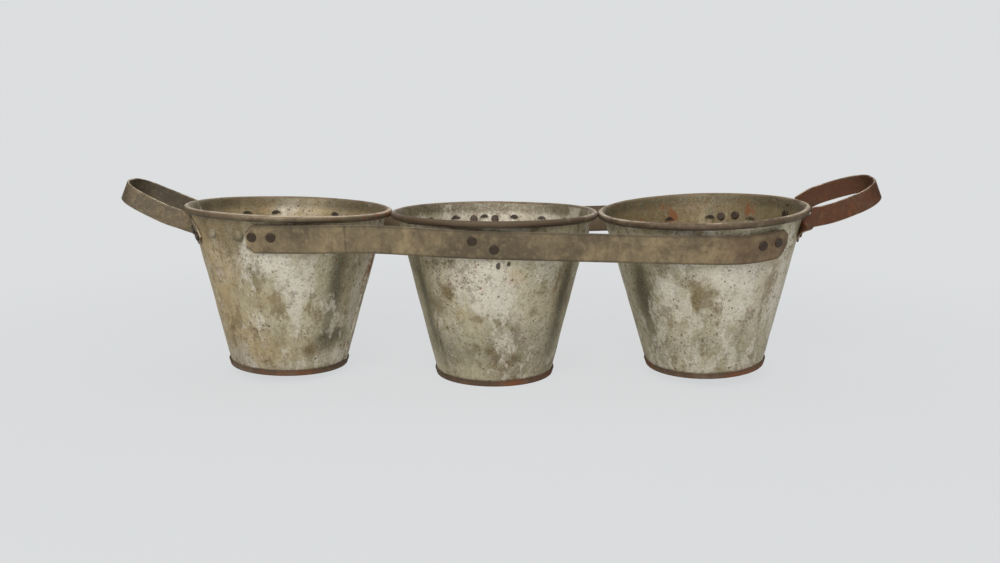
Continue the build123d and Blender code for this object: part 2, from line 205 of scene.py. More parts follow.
# Count and first azimuth of each pot's punched ring, and the azimuth of its seam, in degrees
RINGS = {"left": (18, 3.5, 84.0), "middle": (18, 9.7, -51.5), "right": (13, 0.8, -100.0)}

# Place of each pot along the row, and the first seed of its random waves
STEPS = {"left": -1, "middle": 0, "right": 1}
SEEDS = {"left": 11, "middle": 5, "right": 23}

# Lift of each bent rim at its front and its back, in millimetres
RIM_TILTS = {"left": (0.4, -1.5), "middle": (1.2, -1.3), "right": (0.0, -1.5)}

# Marks on the walls: kind, side (1 outside, -1 inside), azimuth in degrees, share of the wall's
# length from its foot, half width and half height in millimetres, and strength
# Some of these marks are painted light, as noted where they stand
MARKS = {
    "left": (
        ("ochre", 1, -52.0, 0.62, 36.0, 60.0, 1.7),
        ("ochre", 1, 0.0, 0.5, 12.0, 9.0, 0.9),
        ("ochre", 1, -14.0, 0.17, 34.0, 16.0, 0.9),
        ("ochre", -1, 180.0, 0.85, 120.0, 40.0, 0.8),
        ("olive", 1, -36.0, 0.92, 40.0, 18.0, 1.4),
        ("olive", 1, -6.0, 0.45, 14.0, 10.0, 0.7),
        ("olive", 1, -40.0, 0.4, 12.0, 16.0, 0.3),
        ("olive", 1, 28.0, 0.45, 3.0, 7.0, 1.2),
        ("olive", 1, 32.0, 0.17, 6.0, 6.0, 1.1),
        ("olive", 1, 8.0, 0.43, 3.0, 5.0, 1.0),
        ("pale", 1, 4.0, 0.73, 16.0, 13.0, 1.2),
        ("pale", 1, 18.0, 0.55, 16.0, 16.0, 1.0),
        ("pale", 1, 54.0, 0.09, 14.0, 6.0, 0.9),
        # Painted bright reflection along the pot's side edge
        ("pale", 1, 72.0, 0.5, 8.0, 50.0, 0.8),
        ("pale", -1, 196.0, 0.96, 14.0, 6.0, 0.8),
        ("shade", 1, -8.0, 0.68, 6.0, 5.0, 0.35),
        ("shade", 1, 22.0, 0.66, 7.0, 7.0, 0.3),
        # Long grey band at the side: painted dark reflection over some grey stain
        ("shade", 1, 47.0, 0.62, 9.0, 42.0, 0.9),
        ("shade", 1, 52.0, 0.23, 16.0, 9.0, 0.65),
        ("soot", 1, 0.0, 0.33, 17.0, 1.6, 0.75),
        ("soot", 1, -18.0, 0.62, 1.3, 20.0, 0.65),
        ("soot", 1, 8.0, 0.66, 1.2, 18.0, 0.6),
        ("rust", 1, 72.0, 0.15, 2.2, 2.6, 1.2),
        ("rust", 1, 82.0, 0.66, 8.0, 30.0, 0.8),
        ("rust", 1, 84.0, 1.0, 10.0, 6.0, 1.0),
        ("rust", 1, 58.0, 1.0, 40.0, 4.0, 0.55),
    ),
    "middle": (
        ("pale", 1, -2.0, 0.63, 22.0, 24.0, 1.2),
        ("pale", -1, 180.0, 0.85, 120.0, 40.0, 1.2),
        ("fleck", 1, -27.0, 0.73, 20.0, 14.0, 1.2),
        ("fleck", 1, -8.0, 0.6, 16.0, 16.0, 0.6),
        ("ochre", 1, 16.0, 0.68, 9.0, 7.0, 1.1),
        ("ochre", 1, -20.0, 0.46, 8.0, 8.0, 0.9),
        ("rust", 1, 16.0, 0.67, 6.0, 5.0, 0.6),
        ("soot", 1, 5.5, 0.755, 1.8, 2.6, 2.0),
        ("soot", 1, 11.8, 0.765, 1.6, 2.2, 2.0),
        ("olive", 1, -30.0, 0.58, 6.0, 8.0, 1.2),
        ("olive", 1, -42.0, 0.48, 7.0, 9.0, 1.2),
        ("olive", 1, -36.0, 0.35, 5.0, 4.0, 1.1),
        ("olive", 1, -12.0, 0.25, 3.5, 3.5, 1.2),
        ("olive", 1, 20.0, 0.35, 4.0, 4.0, 1.2),
        ("olive", 1, -2.0, 0.22, 4.0, 3.5, 1.0),
        ("olive", 1, -10.0, 0.14, 3.5, 3.5, 1.0),
        ("olive", 1, 22.0, 0.17, 5.0, 4.0, 1.2),
        ("olive", 1, 32.0, 0.46, 5.0, 6.0, 1.0),
        ("olive", 1, -10.0, 0.43, 6.0, 4.0, 1.2),
        # Long grey bands at both sides: painted dark reflections over some grey stain
        ("shade", 1, -54.0, 0.55, 9.0, 48.0, 0.85),
        ("shade", 1, 60.0, 0.55, 9.0, 48.0, 0.95),
        ("shade", 1, -8.0, 0.2, 52.0, 20.0, 0.4),
        ("umber", 1, -14.0, 1.0, 80.0, 6.0, 1.7),
    ),
    "right": (
        # Long grey band at the side: painted dark reflection over some grey stain
        ("shade", 1, -54.0, 0.52, 11.0, 42.0, 1.0),
        ("shade", 1, -8.0, 0.2, 40.0, 14.0, 0.12),
        ("shade", -1, 166.0, 0.89, 6.0, 6.0, 0.7),
        ("shade", -1, 180.0, 0.9, 120.0, 30.0, 0.25),
        ("pale", 1, -32.0, 0.6, 8.0, 7.0, 1.7),
        ("pale", 1, 20.0, 0.55, 60.0, 60.0, 0.4),
        ("pale", 1, 12.0, 0.69, 20.0, 8.0, 1.0),
        ("pale", 1, 14.0, 0.45, 7.0, 7.0, 1.1),
        ("pale", 1, 22.0, 0.6, 5.0, 8.0, 0.9),
        # Painted bright reflection towards the pot's side edge
        ("pale", 1, 52.0, 0.55, 14.0, 40.0, 0.5),
        ("pale", -1, 178.0, 0.91, 9.0, 7.0, 0.9),
        ("olive", 1, -16.0, 0.64, 9.0, 5.0, 1.0),
        ("olive", 1, -8.0, 0.55, 9.0, 7.0, 1.0),
        ("olive", 1, -13.0, 0.52, 3.0, 14.0, 1.0),
        ("olive", -1, 180.0, 0.85, 120.0, 40.0, 1.5),
        ("soot", 1, -13.0, 0.57, 1.4, 14.0, 0.6),
        ("soot", 1, 22.0, 0.51, 1.6, 2.6, 0.85),
        ("soot", 1, -24.0, 0.17, 1.5, 3.5, 0.85),
        ("ochre", 1, 45.0, 0.66, 16.0, 30.0, 0.9),
        ("rust", -1, 192.0, 0.87, 6.0, 6.0, 1.2),
        ("rust", -1, 198.0, 0.94, 10.0, 5.0, 0.8),
        ("rust", -1, 140.0, 0.91, 7.0, 8.0, 1.0),
        ("rust", -1, 216.0, 0.87, 5.0, 5.0, 0.7),
        ("umber", 1, 0.0, 1.0, 90.0, 6.0, 0.7),
    ),
}
KINDS = ("rust", "pale", "olive", "soot", "shade", "fleck", "umber", "ochre")

# How much longer each loop is than its even plan
STRETCHES = {"left": 1.015, "right": 1.055}

# Bent legs of the handles, in millimetres: reaches past the rim wire, then the lift there of the leg
# on the loop's first and second side
LEG_LIFTS = {
    "left": (
        (-10, 0, 8, 20, 35, 51),
        (-1.2, -1.2, -1.2, -1.2, -1.4, -0.8),
        (0.3, -1.2, -2.4, -2.6, -2.4, -0.8),
    ),
    "right": (
        (-12, 0, 10, 20, 36, 51),
        (5.0, 1.8, -0.9, -2.0, -2.8, -1.2),
        (-3.0, -1.0, 2.4, 2.2, 1.0, -1.2),
    ),
}

# Set of each handle on its pot: azimuth, rise and roll in degrees, height of the loop's upper edge over
# the rim wire in millimetres, and the way its feet turn (1 outward, -1 inward)
HANDLE_SETS = {"left": (-90.0, 21.5, 0.0, -0.5, 1), "right": (90.0, 20.5, 3.0, 1.8, -1)}


def settings():
    """The planter's settings on this scene."""
    return bpy.context.scene.herb_planter


def points_of(node):
    """Points of a CAD node at rest, in metres."""
    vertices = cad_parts[node].data.vertices
    flat = np.empty(3 * len(vertices), np.float32)
    vertices.foreach_get("co", flat)
    return flat.reshape(-1, 3).astype(float)


def smooth_step(low, high, value):
    """Smooth climb from 0 at low to 1 at high."""
    share = np.clip((value - low) / (high - low), 0, 1)
    return share * share * (3 - 2 * share)


def bell(value, centre, width):
    """Bell curve: 1 at its centre, about a third at its width from there."""
    return np.exp(-(((value - centre) / width) ** 2))


def turn_apart(first, second):
    """Signed difference of two azimuths in degrees, from -180 to 180."""
    return (first - second + 180) % 360 - 180


def unit(vectors):
    """Vectors scaled to length one."""
    return vectors / np.linalg.norm(vectors, axis=-1, keepdims=True)


def turned(vector, axis, turn):
    """Vectors turned about a unit axis by an array of angles in radians."""
    turn = np.asarray(turn)[..., None]
    across = np.cross(axis, vector)
    return vector * np.cos(turn) + across * np.sin(turn) + axis * np.dot(axis, vector) * (1 - np.cos(turn))


def waves(turn, seed, orders):
    """Sum of sines round a circle, of about unit size: each order has a random phase and weight."""
    draw = np.random.default_rng(seed)
    total = np.zeros_like(turn)
    for order in orders:
        phase = draw.uniform(0, 2 * math.pi)
        total = total + draw.uniform(0.4, 1.0) / order**0.5 * np.sin(order * turn + phase)
    return total / 2


class PotPlace:
    """One pot's own frame and wall line, read from its rim wire and its base pan."""

    def __init__(self, name):
        sizes = settings().pots
        self.name = name
        self.count, self.first, self.seam = RINGS[name]
        wire = points_of(f"{name}_rim_wire")
        centre = (wire.max(0) + wire.min(0)) / 2
        spread = np.linalg.eigh(np.cov((wire - centre).T))[1]
        self.up = spread[:, 0] * np.sign(spread[2, 0])
        self.x_dir = unit(np.cross((0.0, 1.0, 0.0), self.up))
        self.y_dir = np.cross(self.up, self.x_dir)
        self.wire_radius = np.ptp((wire - centre) @ self.up) / 2
        self.ring_radius = np.ptp((wire - centre) @ self.y_dir) / 2 - self.wire_radius
        base = ((points_of(f"{name}_base_pan") - centre) @ self.up).min()
        self.wire_z = -base
        self.origin = centre + self.up * base
        self.roll_inner = self.wire_radius + sizes.roll_gap
        self.roll_outer = self.roll_inner + sizes.sheet
        self.base_radius = sizes.base_radius
        self.foot = sizes.wall_foot
        run = self.ring_radius - self.base_radius
        rise = self.wire_z - self.foot
        to_wire = math.hypot(run, rise)
        self.flare = math.atan2(run, rise) - math.asin(self.roll_inner / to_wire)
        self.length = math.sqrt(to_wire**2 - self.roll_inner**2)
        self.sin, self.cos, self.tan = math.sin(self.flare), math.cos(self.flare), math.tan(self.flare)
        self.pan_radius = self.base_radius - self.foot * self.tan + sizes.flange_out / self.cos

    def stand(self, level):
        """Find the ring of bumps and the centre line at the strips' level."""
        on_axis = (level - self.origin[2]) / self.up[2]
        self.ring = (on_axis - self.foot) / self.cos
        ring_r = self.wall_point(self.ring, 0)[0]
        tip = self.up[:2] / self.up[2]
        drift = ring_r * self.tan / (1 - (self.tan * np.hypot(*tip)) ** 2)
        self.x = self.origin[0] + self.up[0] * on_axis + drift * tip[0]

    def wall_point(self, along, out):
        """Radius and height of points so far up the wall from its foot and out from its outer face."""
        return (
            self.base_radius + along * self.sin + out * self.cos,
            self.foot + along * self.cos - out * self.sin,
        )

    def roll_point(self, turn, size):
        """Radius and height of points on a circle round the rim wire, at angles above level."""
        return self.ring_radius + size * np.cos(turn), self.wire_z + size * np.sin(turn)

    def waves(self, turn, number, orders):
        """Waves round the pot, from one of the pot's own seeds."""
        return waves(turn, SEEDS[self.name] + number, orders)

    def radial(self, azimuth):
        """Directions straight out from the axis at azimuths in degrees."""
        turn = np.radians(np.asarray(azimuth, float))[..., None]
        return self.x_dir * np.sin(turn) - self.y_dir * np.cos(turn)

    def world(self, azimuth, radius, height):
        """Points in the row's frame."""
        return self.origin + self.radial(azimuth) * radius[..., None] + self.up * height[..., None]

    def local(self, points):
        """Azimuth, radius and height of points."""
        arm = points - self.origin
        right, back, height = arm @ self.x_dir, arm @ self.y_dir, arm @ self.up
        return np.degrees(np.arctan2(right, -back)), np.hypot(right, back), height

    def bumps(self):
        """Azimuths of the bumps that the CAD wall has, known by the points on their tops."""
        sizes = settings().pots
        azimuth, radius, height = self.local(points_of(f"{self.name}_pot_wall"))
        along = (height - self.foot) / self.cos
        out = (radius - self.wall_point(along, 0)[0]) * self.cos
        least_rise = 0.8 * sizes.bump_rise
        proud = out > least_rise
        found = []
        for place in self.first + 360 * np.arange(self.count) / self.count:
            far = np.hypot(np.radians(turn_apart(azimuth, place)) * radius, along - self.ring)
            if np.any(proud & (far < sizes.bump_radius)):
                found.append(place)
        return found

    def rim_stray(self, azimuth):
        """How far the rim strays out and up from its true circle."""
        turn = np.radians(azimuth)
        size = settings().pots.wobble
        front, back = RIM_TILTS[self.name]
        tilt = (front + back) / 2 + (front - back) / 2 * np.cos(turn)
        out = size * self.waves(turn, 0, (2, 3, 5))
        return out, size * self.waves(turn, 1, (2, 3, 4, 7)) + tilt * MM


def all_pots():
    """The three pots, standing with their rings at the front strip's level."""
    straps = settings().straps
    pots = {name: PotPlace(name) for name in RINGS}
    middle = pots["middle"]
    along = middle.length - middle.roll_outer - straps.front_below - straps.width / 2
    level = middle.wall_point(along, 0)[1]
    rim = middle.ring_radius + middle.roll_outer
    for name, pot in pots.items():
        pot.stand(level - STEPS[name] * 2 * rim * math.tan(straps.front_fall))
    return pots


def grid_piece(name, points, values, round_rows=False, round_columns=False):
    """Object of a grid of points (rows, columns, 3) joined to quads. Rows or columns may close on
    themselves, open ends of closed columns get a flat cap, and values are named numbers per point."""
    rows, columns = points.shape[:2]
    number = np.arange(rows * columns).reshape(rows, columns)
    ring = np.vstack([number, number[:1]]) if round_rows else number
    ring = np.hstack([ring, ring[:, :1]]) if round_columns else ring
    quads = np.stack([ring[:-1, :-1], ring[:-1, 1:], ring[1:, 1:], ring[1:, :-1]], axis=-1).reshape(-1, 4)
    flat = points.reshape(-1, 3)
    corner = flat[quads] - flat.mean(0)
    halves = np.cross(corner[:, 1], corner[:, 2]) + np.cross(corner[:, 2], corner[:, 3])
    inside_out = (corner[:, 0] * halves).sum() < 0
    faces = quads[:, ::-1].tolist() if inside_out else quads.tolist()
    if not round_rows:
        ends = [number[0], number[-1][::-1]] if inside_out else [number[0][::-1], number[-1]]
        faces += [end.tolist() for end in ends]
    mesh = bpy.data.meshes.new(name)
    mesh.from_pydata(flat.tolist(), [], faces)
    mesh.polygons.foreach_set("use_smooth", np.ones(len(faces), bool))
    mesh.set_sharp_from_angle(angle=SHARP_EDGE)
    for label, numbers in values.items():
        attribute = mesh.attributes.new(label, "FLOAT", "POINT")
        spread = np.broadcast_to(numbers, (rows, columns)).astype(np.float32)
        attribute.data.foreach_set("value", spread.ravel())
    if mesh.validate():
        raise RuntimeError(f"{name} has a broken face")
    piece = bpy.data.objects.new(name, mesh)
    bpy.context.scene.collection.objects.link(piece)
    return piece


def place_piece(piece, node, material):
    """Let a finished piece stand for its CAD node on the one body."""
    piece.data.materials.append(material)
    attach(piece, "root")
    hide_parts(node)


class Shader:
    """Adds linked nodes to one node tree."""

    def __init__(self, tree):
        self.tree = tree

    def add(self, kind, inputs=None, **options):
        """New node with its options set and its inputs set or linked."""
        node = self.tree.nodes.new(kind)
        for label, value in options.items():
            setattr(node, label, value)
        for label, value in (inputs or {}).items():
            self.feed(node.inputs[label], value)
        return node

    def feed(self, socket, value):
        """Link a socket to an output, or set its value."""
        if isinstance(value, bpy.types.NodeSocket):
            self.tree.links.new(value, socket)
        elif socket.type == "RGBA":
            socket.default_value = (*value, 1.0)[:4]
        else:
            socket.default_value = value

    def math(self, operation, first, second=0.0):
        """Result of one operation on two numbers."""
        return self.add("ShaderNodeMath", {0: first, 1: second}, operation=operation).outputs[0]

    def mix(self, share, first, second):
        """Number between two others."""
        return self.add("ShaderNodeMix", {0: share, 2: first, 3: second}, data_type="FLOAT").outputs[0]

    def blend(self, share, first, second):
        """Colour between two others."""
        return self.add("ShaderNodeMix", {0: share, 6: first, 7: second}, data_type="RGBA").outputs[2]

    def ramp(self, value, low, high):
        """Smooth climb from 0 at low to 1 at high."""
        inputs = {"Value": value, "From Min": low, "From Max": high}
        return self.add("ShaderNodeMapRange", inputs, interpolation_type="SMOOTHSTEP").outputs["Result"]

    def noise(self, vector, scale, detail, roughness=0.5):
        """Outputs of a cloudy noise."""
        inputs = {"Vector": vector, "Scale": scale, "Detail": detail, "Roughness": roughness}
        return self.add("ShaderNodeTexNoise", inputs).outputs

    def attribute(self, label):
        """Named number of each point."""
        return self.add("ShaderNodeAttribute", attribute_name=label).outputs["Fac"]


def mask_group(name, numbers):
    """New node group that makes a mask from a vector and named numbers."""
    tree = bpy.data.node_groups.new(name, "ShaderNodeTree")
    tree.interface.new_socket("Vector", in_out="INPUT", socket_type="NodeSocketVector")
    for label in numbers:
        tree.interface.new_socket(label, in_out="INPUT", socket_type="NodeSocketFloat")
    tree.interface.new_socket("Mask", in_out="OUTPUT", socket_type="NodeSocketFloat")
    return tree


# Noise of the patches: detail and roughness
PATCH_NOISE = (5.0, 0.7)


def patches_group():
    """Node group for cloudy patches: noise, lifted by a number, cut smoothly between two levels."""
    if "Patches" in bpy.data.node_groups:
        return bpy.data.node_groups["Patches"]
    tree = mask_group("Patches", ("Scale", "Low", "High", "Lift"))
    shader = Shader(tree)
    entry = shader.add("NodeGroupInput").outputs
    cloud = shader.noise(entry["Vector"], entry["Scale"], *PATCH_NOISE)["Fac"]
    lifted = shader.math("ADD", cloud, entry["Lift"])
    shader.add("NodeGroupOutput", {"Mask": shader.ramp(lifted, entry["Low"], entry["High"])})
    return tree


# Specks: noise that makes them ragged (scale, detail) and how far it moves them, noise that crowds them
# (scale, detail, roughness) and how much, the smallest size and the range over it, as shares of a cell,
# and the soft edges of the choice and of a speck
RAGGED_NOISE = (700.0, 2.0)
RAGGED_REACH = 2.0 * MM
CROWD_NOISE = (45.0, 3.0, 0.6)
CROWD_RANGE = 1.6
SPECK_LEAST = 0.14
SPECK_RANGE = 0.3
CHOICE_EDGE = (0.0, 0.08)
SPECK_EDGE = (1.25, 0.5)


def specks_group():
    """Node group for round specks: one in each cell of a Voronoi pattern, of a random size, kept where
    the cell's random number lies under a density that cloudy noise raises and lowers."""
    if "Specks" in bpy.data.node_groups:
        return bpy.data.node_groups["Specks"]
    tree = mask_group("Specks", ("Scale", "Density"))
    shader = Shader(tree)
    entry = shader.add("NodeGroupInput").outputs
    ragged = {0: shader.noise(entry["Vector"], *RAGGED_NOISE)["Color"], "Scale": RAGGED_REACH}
    stray = shader.add("ShaderNodeVectorMath", ragged, operation="SCALE").outputs[0]
    vector = shader.add("ShaderNodeVectorMath", {0: entry["Vector"], 1: stray}, operation="ADD").outputs[0]
    cells = shader.add("ShaderNodeTexVoronoi", {"Vector": vector, "Scale": entry["Scale"]}).outputs
    chance = shader.add("ShaderNodeSeparateColor", {"Color": cells["Color"]}).outputs
    cloud = shader.math("SUBTRACT", shader.noise(entry["Vector"], *CROWD_NOISE)["Fac"], 0.5)
    crowd = shader.math("ADD", entry["Density"], shader.math("MULTIPLY", cloud, CROWD_RANGE))
    kept = shader.ramp(shader.math("SUBTRACT", crowd, chance["Red"]), *CHOICE_EDGE)
    size = shader.math("ADD", SPECK_LEAST, shader.math("MULTIPLY", chance["Green"], SPECK_RANGE))
    dot = shader.ramp(shader.math("DIVIDE", cells["Distance"], size), *SPECK_EDGE)
    shader.add("NodeGroupOutput", {"Mask": shader.math("MULTIPLY", kept, dot)})
    return tree


def noise_mask(shader, coords, stain):
    """Mask of a layer made of noise: patches where its cut is a pair of levels, specks where it is a
    density. Named numbers lift it."""
    lift = 0.0
    for label, gain in stain.get("lift", {}).items():
        lift = shader.math("ADD", lift, shader.math("MULTIPLY", shader.attribute(label), gain))
    vector = coords
    if "stretch" in stain:
        inputs = {0: coords, 1: stain["stretch"]}
        vector = shader.add("ShaderNodeVectorMath", inputs, operation="MULTIPLY").outputs[0]
    inputs = {"Vector": vector, "Scale": stain["scale"]}
    if isinstance(stain["cut"], tuple):
        group = patches_group()
        low, high = stain["cut"]
        inputs |= {"Low": low, "High": high, "Lift": lift}
    else:
        group = specks_group()
        inputs["Density"] = shader.math("ADD", lift, stain["cut"])
    return shader.add("ShaderNodeGroup", inputs, node_tree=group).outputs["Mask"]


# Relief of all the metals: noise of the fine grain and of the wider swell (scale, detail, roughness),
# the grain's share and the depth in metres
GRAIN_NOISE = (520.0, 4.0, 0.6)
SWELL_NOISE = (70.0, 3.0, 0.5)
GRAIN_SHARE = 0.5
RELIEF_DEPTH = 0.0006


def aged_metal(name, tone, rough, metal, layers, relief):
    """Material of one metal under layers of stain, each blended over those before it by its mask."""
    if name in bpy.data.materials:
        return bpy.data.materials[name]
    material = bpy.data.materials.new(name)
    material.use_nodes = True
    principled = material.node_tree.nodes["Principled BSDF"]
    shader = Shader(material.node_tree)
    coords = shader.add("ShaderNodeTexCoord").outputs["Object"]
    for stain in layers:
        if "where" in stain:
            mask = shader.ramp(shader.attribute(stain["where"]), *stain["cut"])
        else:
            mask = noise_mask(shader, coords, stain)
        if "only" in stain:
            label, low, high = stain["only"]
            mask = shader.math("MULTIPLY", mask, shader.ramp(shader.attribute(label), low, high))
        share = shader.math("MULTIPLY", mask, stain["strength"])
        tone = shader.blend(share, tone, stain["tone"])
        rough = shader.mix(share, rough, stain["rough"])
        metal = shader.mix(share, metal, stain["metal"])
    grain = shader.math("MULTIPLY", shader.noise(coords, *GRAIN_NOISE)["Fac"], GRAIN_SHARE)
    surface = shader.math("ADD", grain, shader.noise(coords, *SWELL_NOISE)["Fac"])
    bump = shader.add("ShaderNodeBump", {"Height": surface, "Strength": relief, "Distance": RELIEF_DEPTH})
    shader.feed(principled.inputs["Base Color"], tone)
    shader.feed(principled.inputs["Roughness"], rough)
    shader.feed(principled.inputs["Metallic"], metal)
    shader.feed(principled.inputs["Normal"], bump.outputs["Normal"])
    return material


def layer(tone, scale, cut, strength, rough, metal, **more):
    """Layer of stain made of noise of a scale, with its cut: two levels for patches, or a density for
    specks. More may hold a stretch of the noise, named numbers that lift it with their gains, and a
    named number with the two levels between which the layer fades in."""
    return dict(tone=tone, scale=scale, cut=cut, strength=strength, rough=rough, metal=metal, **more)


def zone(tone, where, cut, strength, rough, metal):
    """Layer of stain without noise, which fades in between two levels of a named number."""
    return dict(tone=tone, where=where, cut=cut, strength=strength, rough=rough, metal=metal)


def zinc_material():
    """Weathered zinc with bloom, stains, streaks, specks and a browned rim, with painted dark reflections,
    painted shade and painted highlights.
    """
    tones = settings().tones
    rim = ("rim", 0.4, 0.6)
    in_shade = ("shade", 0.1, 0.7)
    on_glint = ("glint", 0.1, 0.8)
    drawn = (1.0, 1.0, 0.5)
    streak = (1.0, 1.0, 0.12)
    long_streak = (1.0, 1.0, 0.08)
    scratch = (1.0, 1.0, 0.06)
    bare = {"pale": 0.08, "shade": -0.1, "ochre": -0.06, "olive": -0.08, "inside": -0.03}
    blotch = {"olive": 0.07, "inside": 0.02, "pale": -0.03, "shade": -0.09}
    clouds = (
        layer(tones.zinc_dull, 15.0, (0.40, 0.70), 0.7, 0.5, 0.55),
        layer(tones.ochre, 22.0, (0.50, 0.92), 0.85, 0.55, 0.3, lift={"ochre": 0.32, "inside": 0.14}),
        layer(tones.olive, 24.0, (0.52, 0.82), 0.65, 0.6, 0.3, lift={"olive": 0.3, "inside": 0.06}),
        layer(tones.pale, 22.0, (0.48, 0.76), 0.75, 0.55, 0.35, lift={"pale": 0.2, "olive": -0.06}),
        # These two layers paint grey stain and painted light: dark reflection bands, and painted shade
        # inside under the rims and round the bumps
        layer(tones.shade, 24.0, (0.42, 1.2), 0.9, 0.45, 0.5, lift={"shade": 0.7}),
        layer(tones.shade, 130.0, (0.46, 0.72), 0.5, 0.45, 0.5, stretch=streak, only=in_shade),
        zone(tones.olive, "inside", (0.4, 0.6), 0.28, 0.6, 0.4),
    )
    streaks = (
        layer(tones.olive, 150.0, (0.48, 0.68), 0.3, 0.6, 0.35, stretch=streak),
        layer(tones.pale, 52.0, (0.51, 0.57), 0.6, 0.55, 0.3, stretch=drawn, lift=bare),
        layer(tones.olive, 58.0, (0.54, 0.60), 0.6, 0.65, 0.25, stretch=drawn, lift=blotch),
        layer(tones.shade, 60.0, (0.55, 0.70), 0.25, 0.5, 0.4, stretch=long_streak),
    )
    grit = (
        layer(tones.olive, 230.0, (0.54, 0.60), 0.4, 0.65, 0.25, lift={"grit": 0.02, "pale": -0.02}),
        layer(tones.pale, 480.0, (0.48, 0.62), 0.35, 0.55, 0.3, lift=bare),
        layer(tones.zinc_dull, 650.0, (0.48, 0.60), 0.35, 0.6, 0.3),
        layer(tones.speck, 130.0, (0.58, 0.68), 0.4, 0.7, 0.2, lift={"fleck": 0.09, "grit": 0.02}),
        layer(tones.speck, 400.0, 0.14, 0.75, 0.75, 0.1, lift={"fleck": 0.45, "grit": 0.06}),
        layer(tones.speck, 680.0, 0.26, 0.6, 0.75, 0.1, lift={"fleck": 0.4, "grit": 0.08}),
        layer(tones.soot, 900.0, 0.22, 0.5, 0.75, 0.1, lift={"grit": 0.08}),
        layer(tones.rust, 90.0, (0.60, 0.76), 0.4, 0.75, 0.1, lift={"fleck": 0.03, "grit": 0.05}),
        layer(tones.rust, 330.0, -0.12, 0.65, 0.75, 0.1, lift={"fleck": 0.45}),
        layer(tones.soot, 420.0, (0.64, 0.72), 0.3, 0.7, 0.2, stretch=scratch),
    )
    marks = (
        layer(tones.rust, 150.0, (0.74, 0.98), 0.8, 0.8, 0.0, lift={"rust": 0.5}),
        # Dark marks, and the painted shade in the upper part of the bumps' hollows
        layer(tones.soot, 200.0, (0.85, 1.05), 0.9, 0.8, 0.0, lift={"soot": 0.6}),
    )
    rolled_rim = (
        layer(tones.rim, 60.0, (0.0, 0.1), 0.9, 0.5, 0.4, only=rim),
        layer(tones.rim_rust_and_shade, 70.0, (0.48, 0.70), 0.75, 0.7, 0.15, only=rim, lift={"umber": 0.3}),
        layer(tones.rust, 110.0, (0.62, 0.82), 0.6, 0.75, 0.1, only=rim, lift={"rust": 0.3}),
        # Painted shade on the roll's underside
        layer(tones.rim_rust_and_shade, 90.0, (0.36, 0.62), 0.45, 0.65, 0.2, only=("under", 0.1, 0.9)),
        # Painted highlight along the roll's top
        layer(tones.worn, 60.0, (0.28, 0.58), 0.85, 0.45, 0.5, only=on_glint, lift={"umber": -0.25}),
        # Painted shade line in the roll's crease
        layer(tones.soot, 50.0, (0.25, 0.6), 0.75, 0.7, 0.1, only=("crease", 0.2, 0.9)),
    )
    layers = (*clouds, *streaks, *grit, *marks, *rolled_rim)
    return aged_metal("aged_zinc", tones.zinc, 0.42, 0.7, layers, 0.5)


def pan_material():
    """Rusty base pan with a grimy lip."""
    tones = settings().tones
    layers = (
        layer(tones.pan_light, 50.0, (0.46, 0.66), 0.7, 0.55, 0.4),
        layer(tones.soot, 45.0, (0.54, 0.74), 0.55, 0.8, 0.1),
        layer(tones.rust, 60.0, (0.52, 0.7), 0.6, 0.8, 0.0),
        layer(tones.rust, 14.0, (0.50, 0.62), 0.55, 0.8, 0.0),
        layer(tones.soot, 300.0, (0.58, 0.68), 0.5, 0.8, 0.0),
        zone(tones.soot, "lip", (0.4, 1.0), 0.4, 0.8, 0.1),
    )
    return aged_metal("rusty_pan", tones.pan, 0.65, 0.3, layers, 0.6)


def strip_material():
    """Bronze-brown strip steel with yellowish clouds and dark edges."""
    tones = settings().tones
    layers = (
        layer(tones.strip_light, 42.0, (0.42, 0.62), 0.85, 0.5, 0.4, lift={"dim": -0.1}),
        layer(tones.strip_dark, 36.0, (0.46, 0.66), 0.7, 0.6, 0.3, lift={"dim": 0.12}),
        layer(tones.strip_dark, 110.0, (0.48, 0.68), 0.4, 0.6, 0.3),
        layer(tones.strip_light, 200.0, (0.48, 0.66), 0.4, 0.5, 0.4),
        layer(tones.strip_dark, 170.0, (0.48, 0.68), 0.4, 0.6, 0.3, stretch=(1.0, 1.0, 0.1)),
        layer(tones.soot, 420.0, 0.1, 0.35, 0.7, 0.2),
        zone(tones.soot, "edge", (0.82, 1.0), 0.5, 0.6, 0.3),
        zone(tones.soot, "line", (0.3, 1.0), 0.45, 0.6, 0.3),
        layer(tones.grip_rust, 45.0, (0.50, 0.95), 0.5, 0.6, 0.3, lift={"end": 0.3}),
        # Painted shade on the strip's face that lies against the wall
        zone(tones.rim_rust_and_shade, "hollow", (0.3, 0.7), 0.75, 0.65, 0.3),
    )
    return aged_metal("browned_strip", tones.strip, 0.5, 0.45, layers, 0.4)


def grip_material(name, tone, light, dark, rust, hollow):
    """Handle steel of two patchy tones over a third, with rust, a tone of its own inside the loop and
    bright worn edges."""
    tones = settings().tones
    layers = (
        layer(light, 60.0, (0.46, 0.64), 0.7, 0.5, 0.4),
        layer(dark, 60.0, (0.48, 0.64), 0.75, 0.65, 0.3),
        layer(tones.rust, 110.0, (0.53, 0.68), rust, 0.75, 0.1),
        layer(dark, 170.0, (0.52, 0.64), 0.6, 0.7, 0.2),
        layer(light, 260.0, (0.52, 0.64), 0.4, 0.5, 0.4),
        layer(tones.soot, 420.0, (0.60, 0.70), 0.4, 0.7, 0.2),
        zone(hollow, "hollow", (0.3, 0.7), 0.5, 0.65, 0.3),
        layer(tones.worn, 70.0, (0.40, 0.62), 0.7, 0.4, 0.6, only=("edge", 0.97, 1.1)),
    )
    return aged_metal(name, tone, 0.5, 0.45, layers, 0.5)


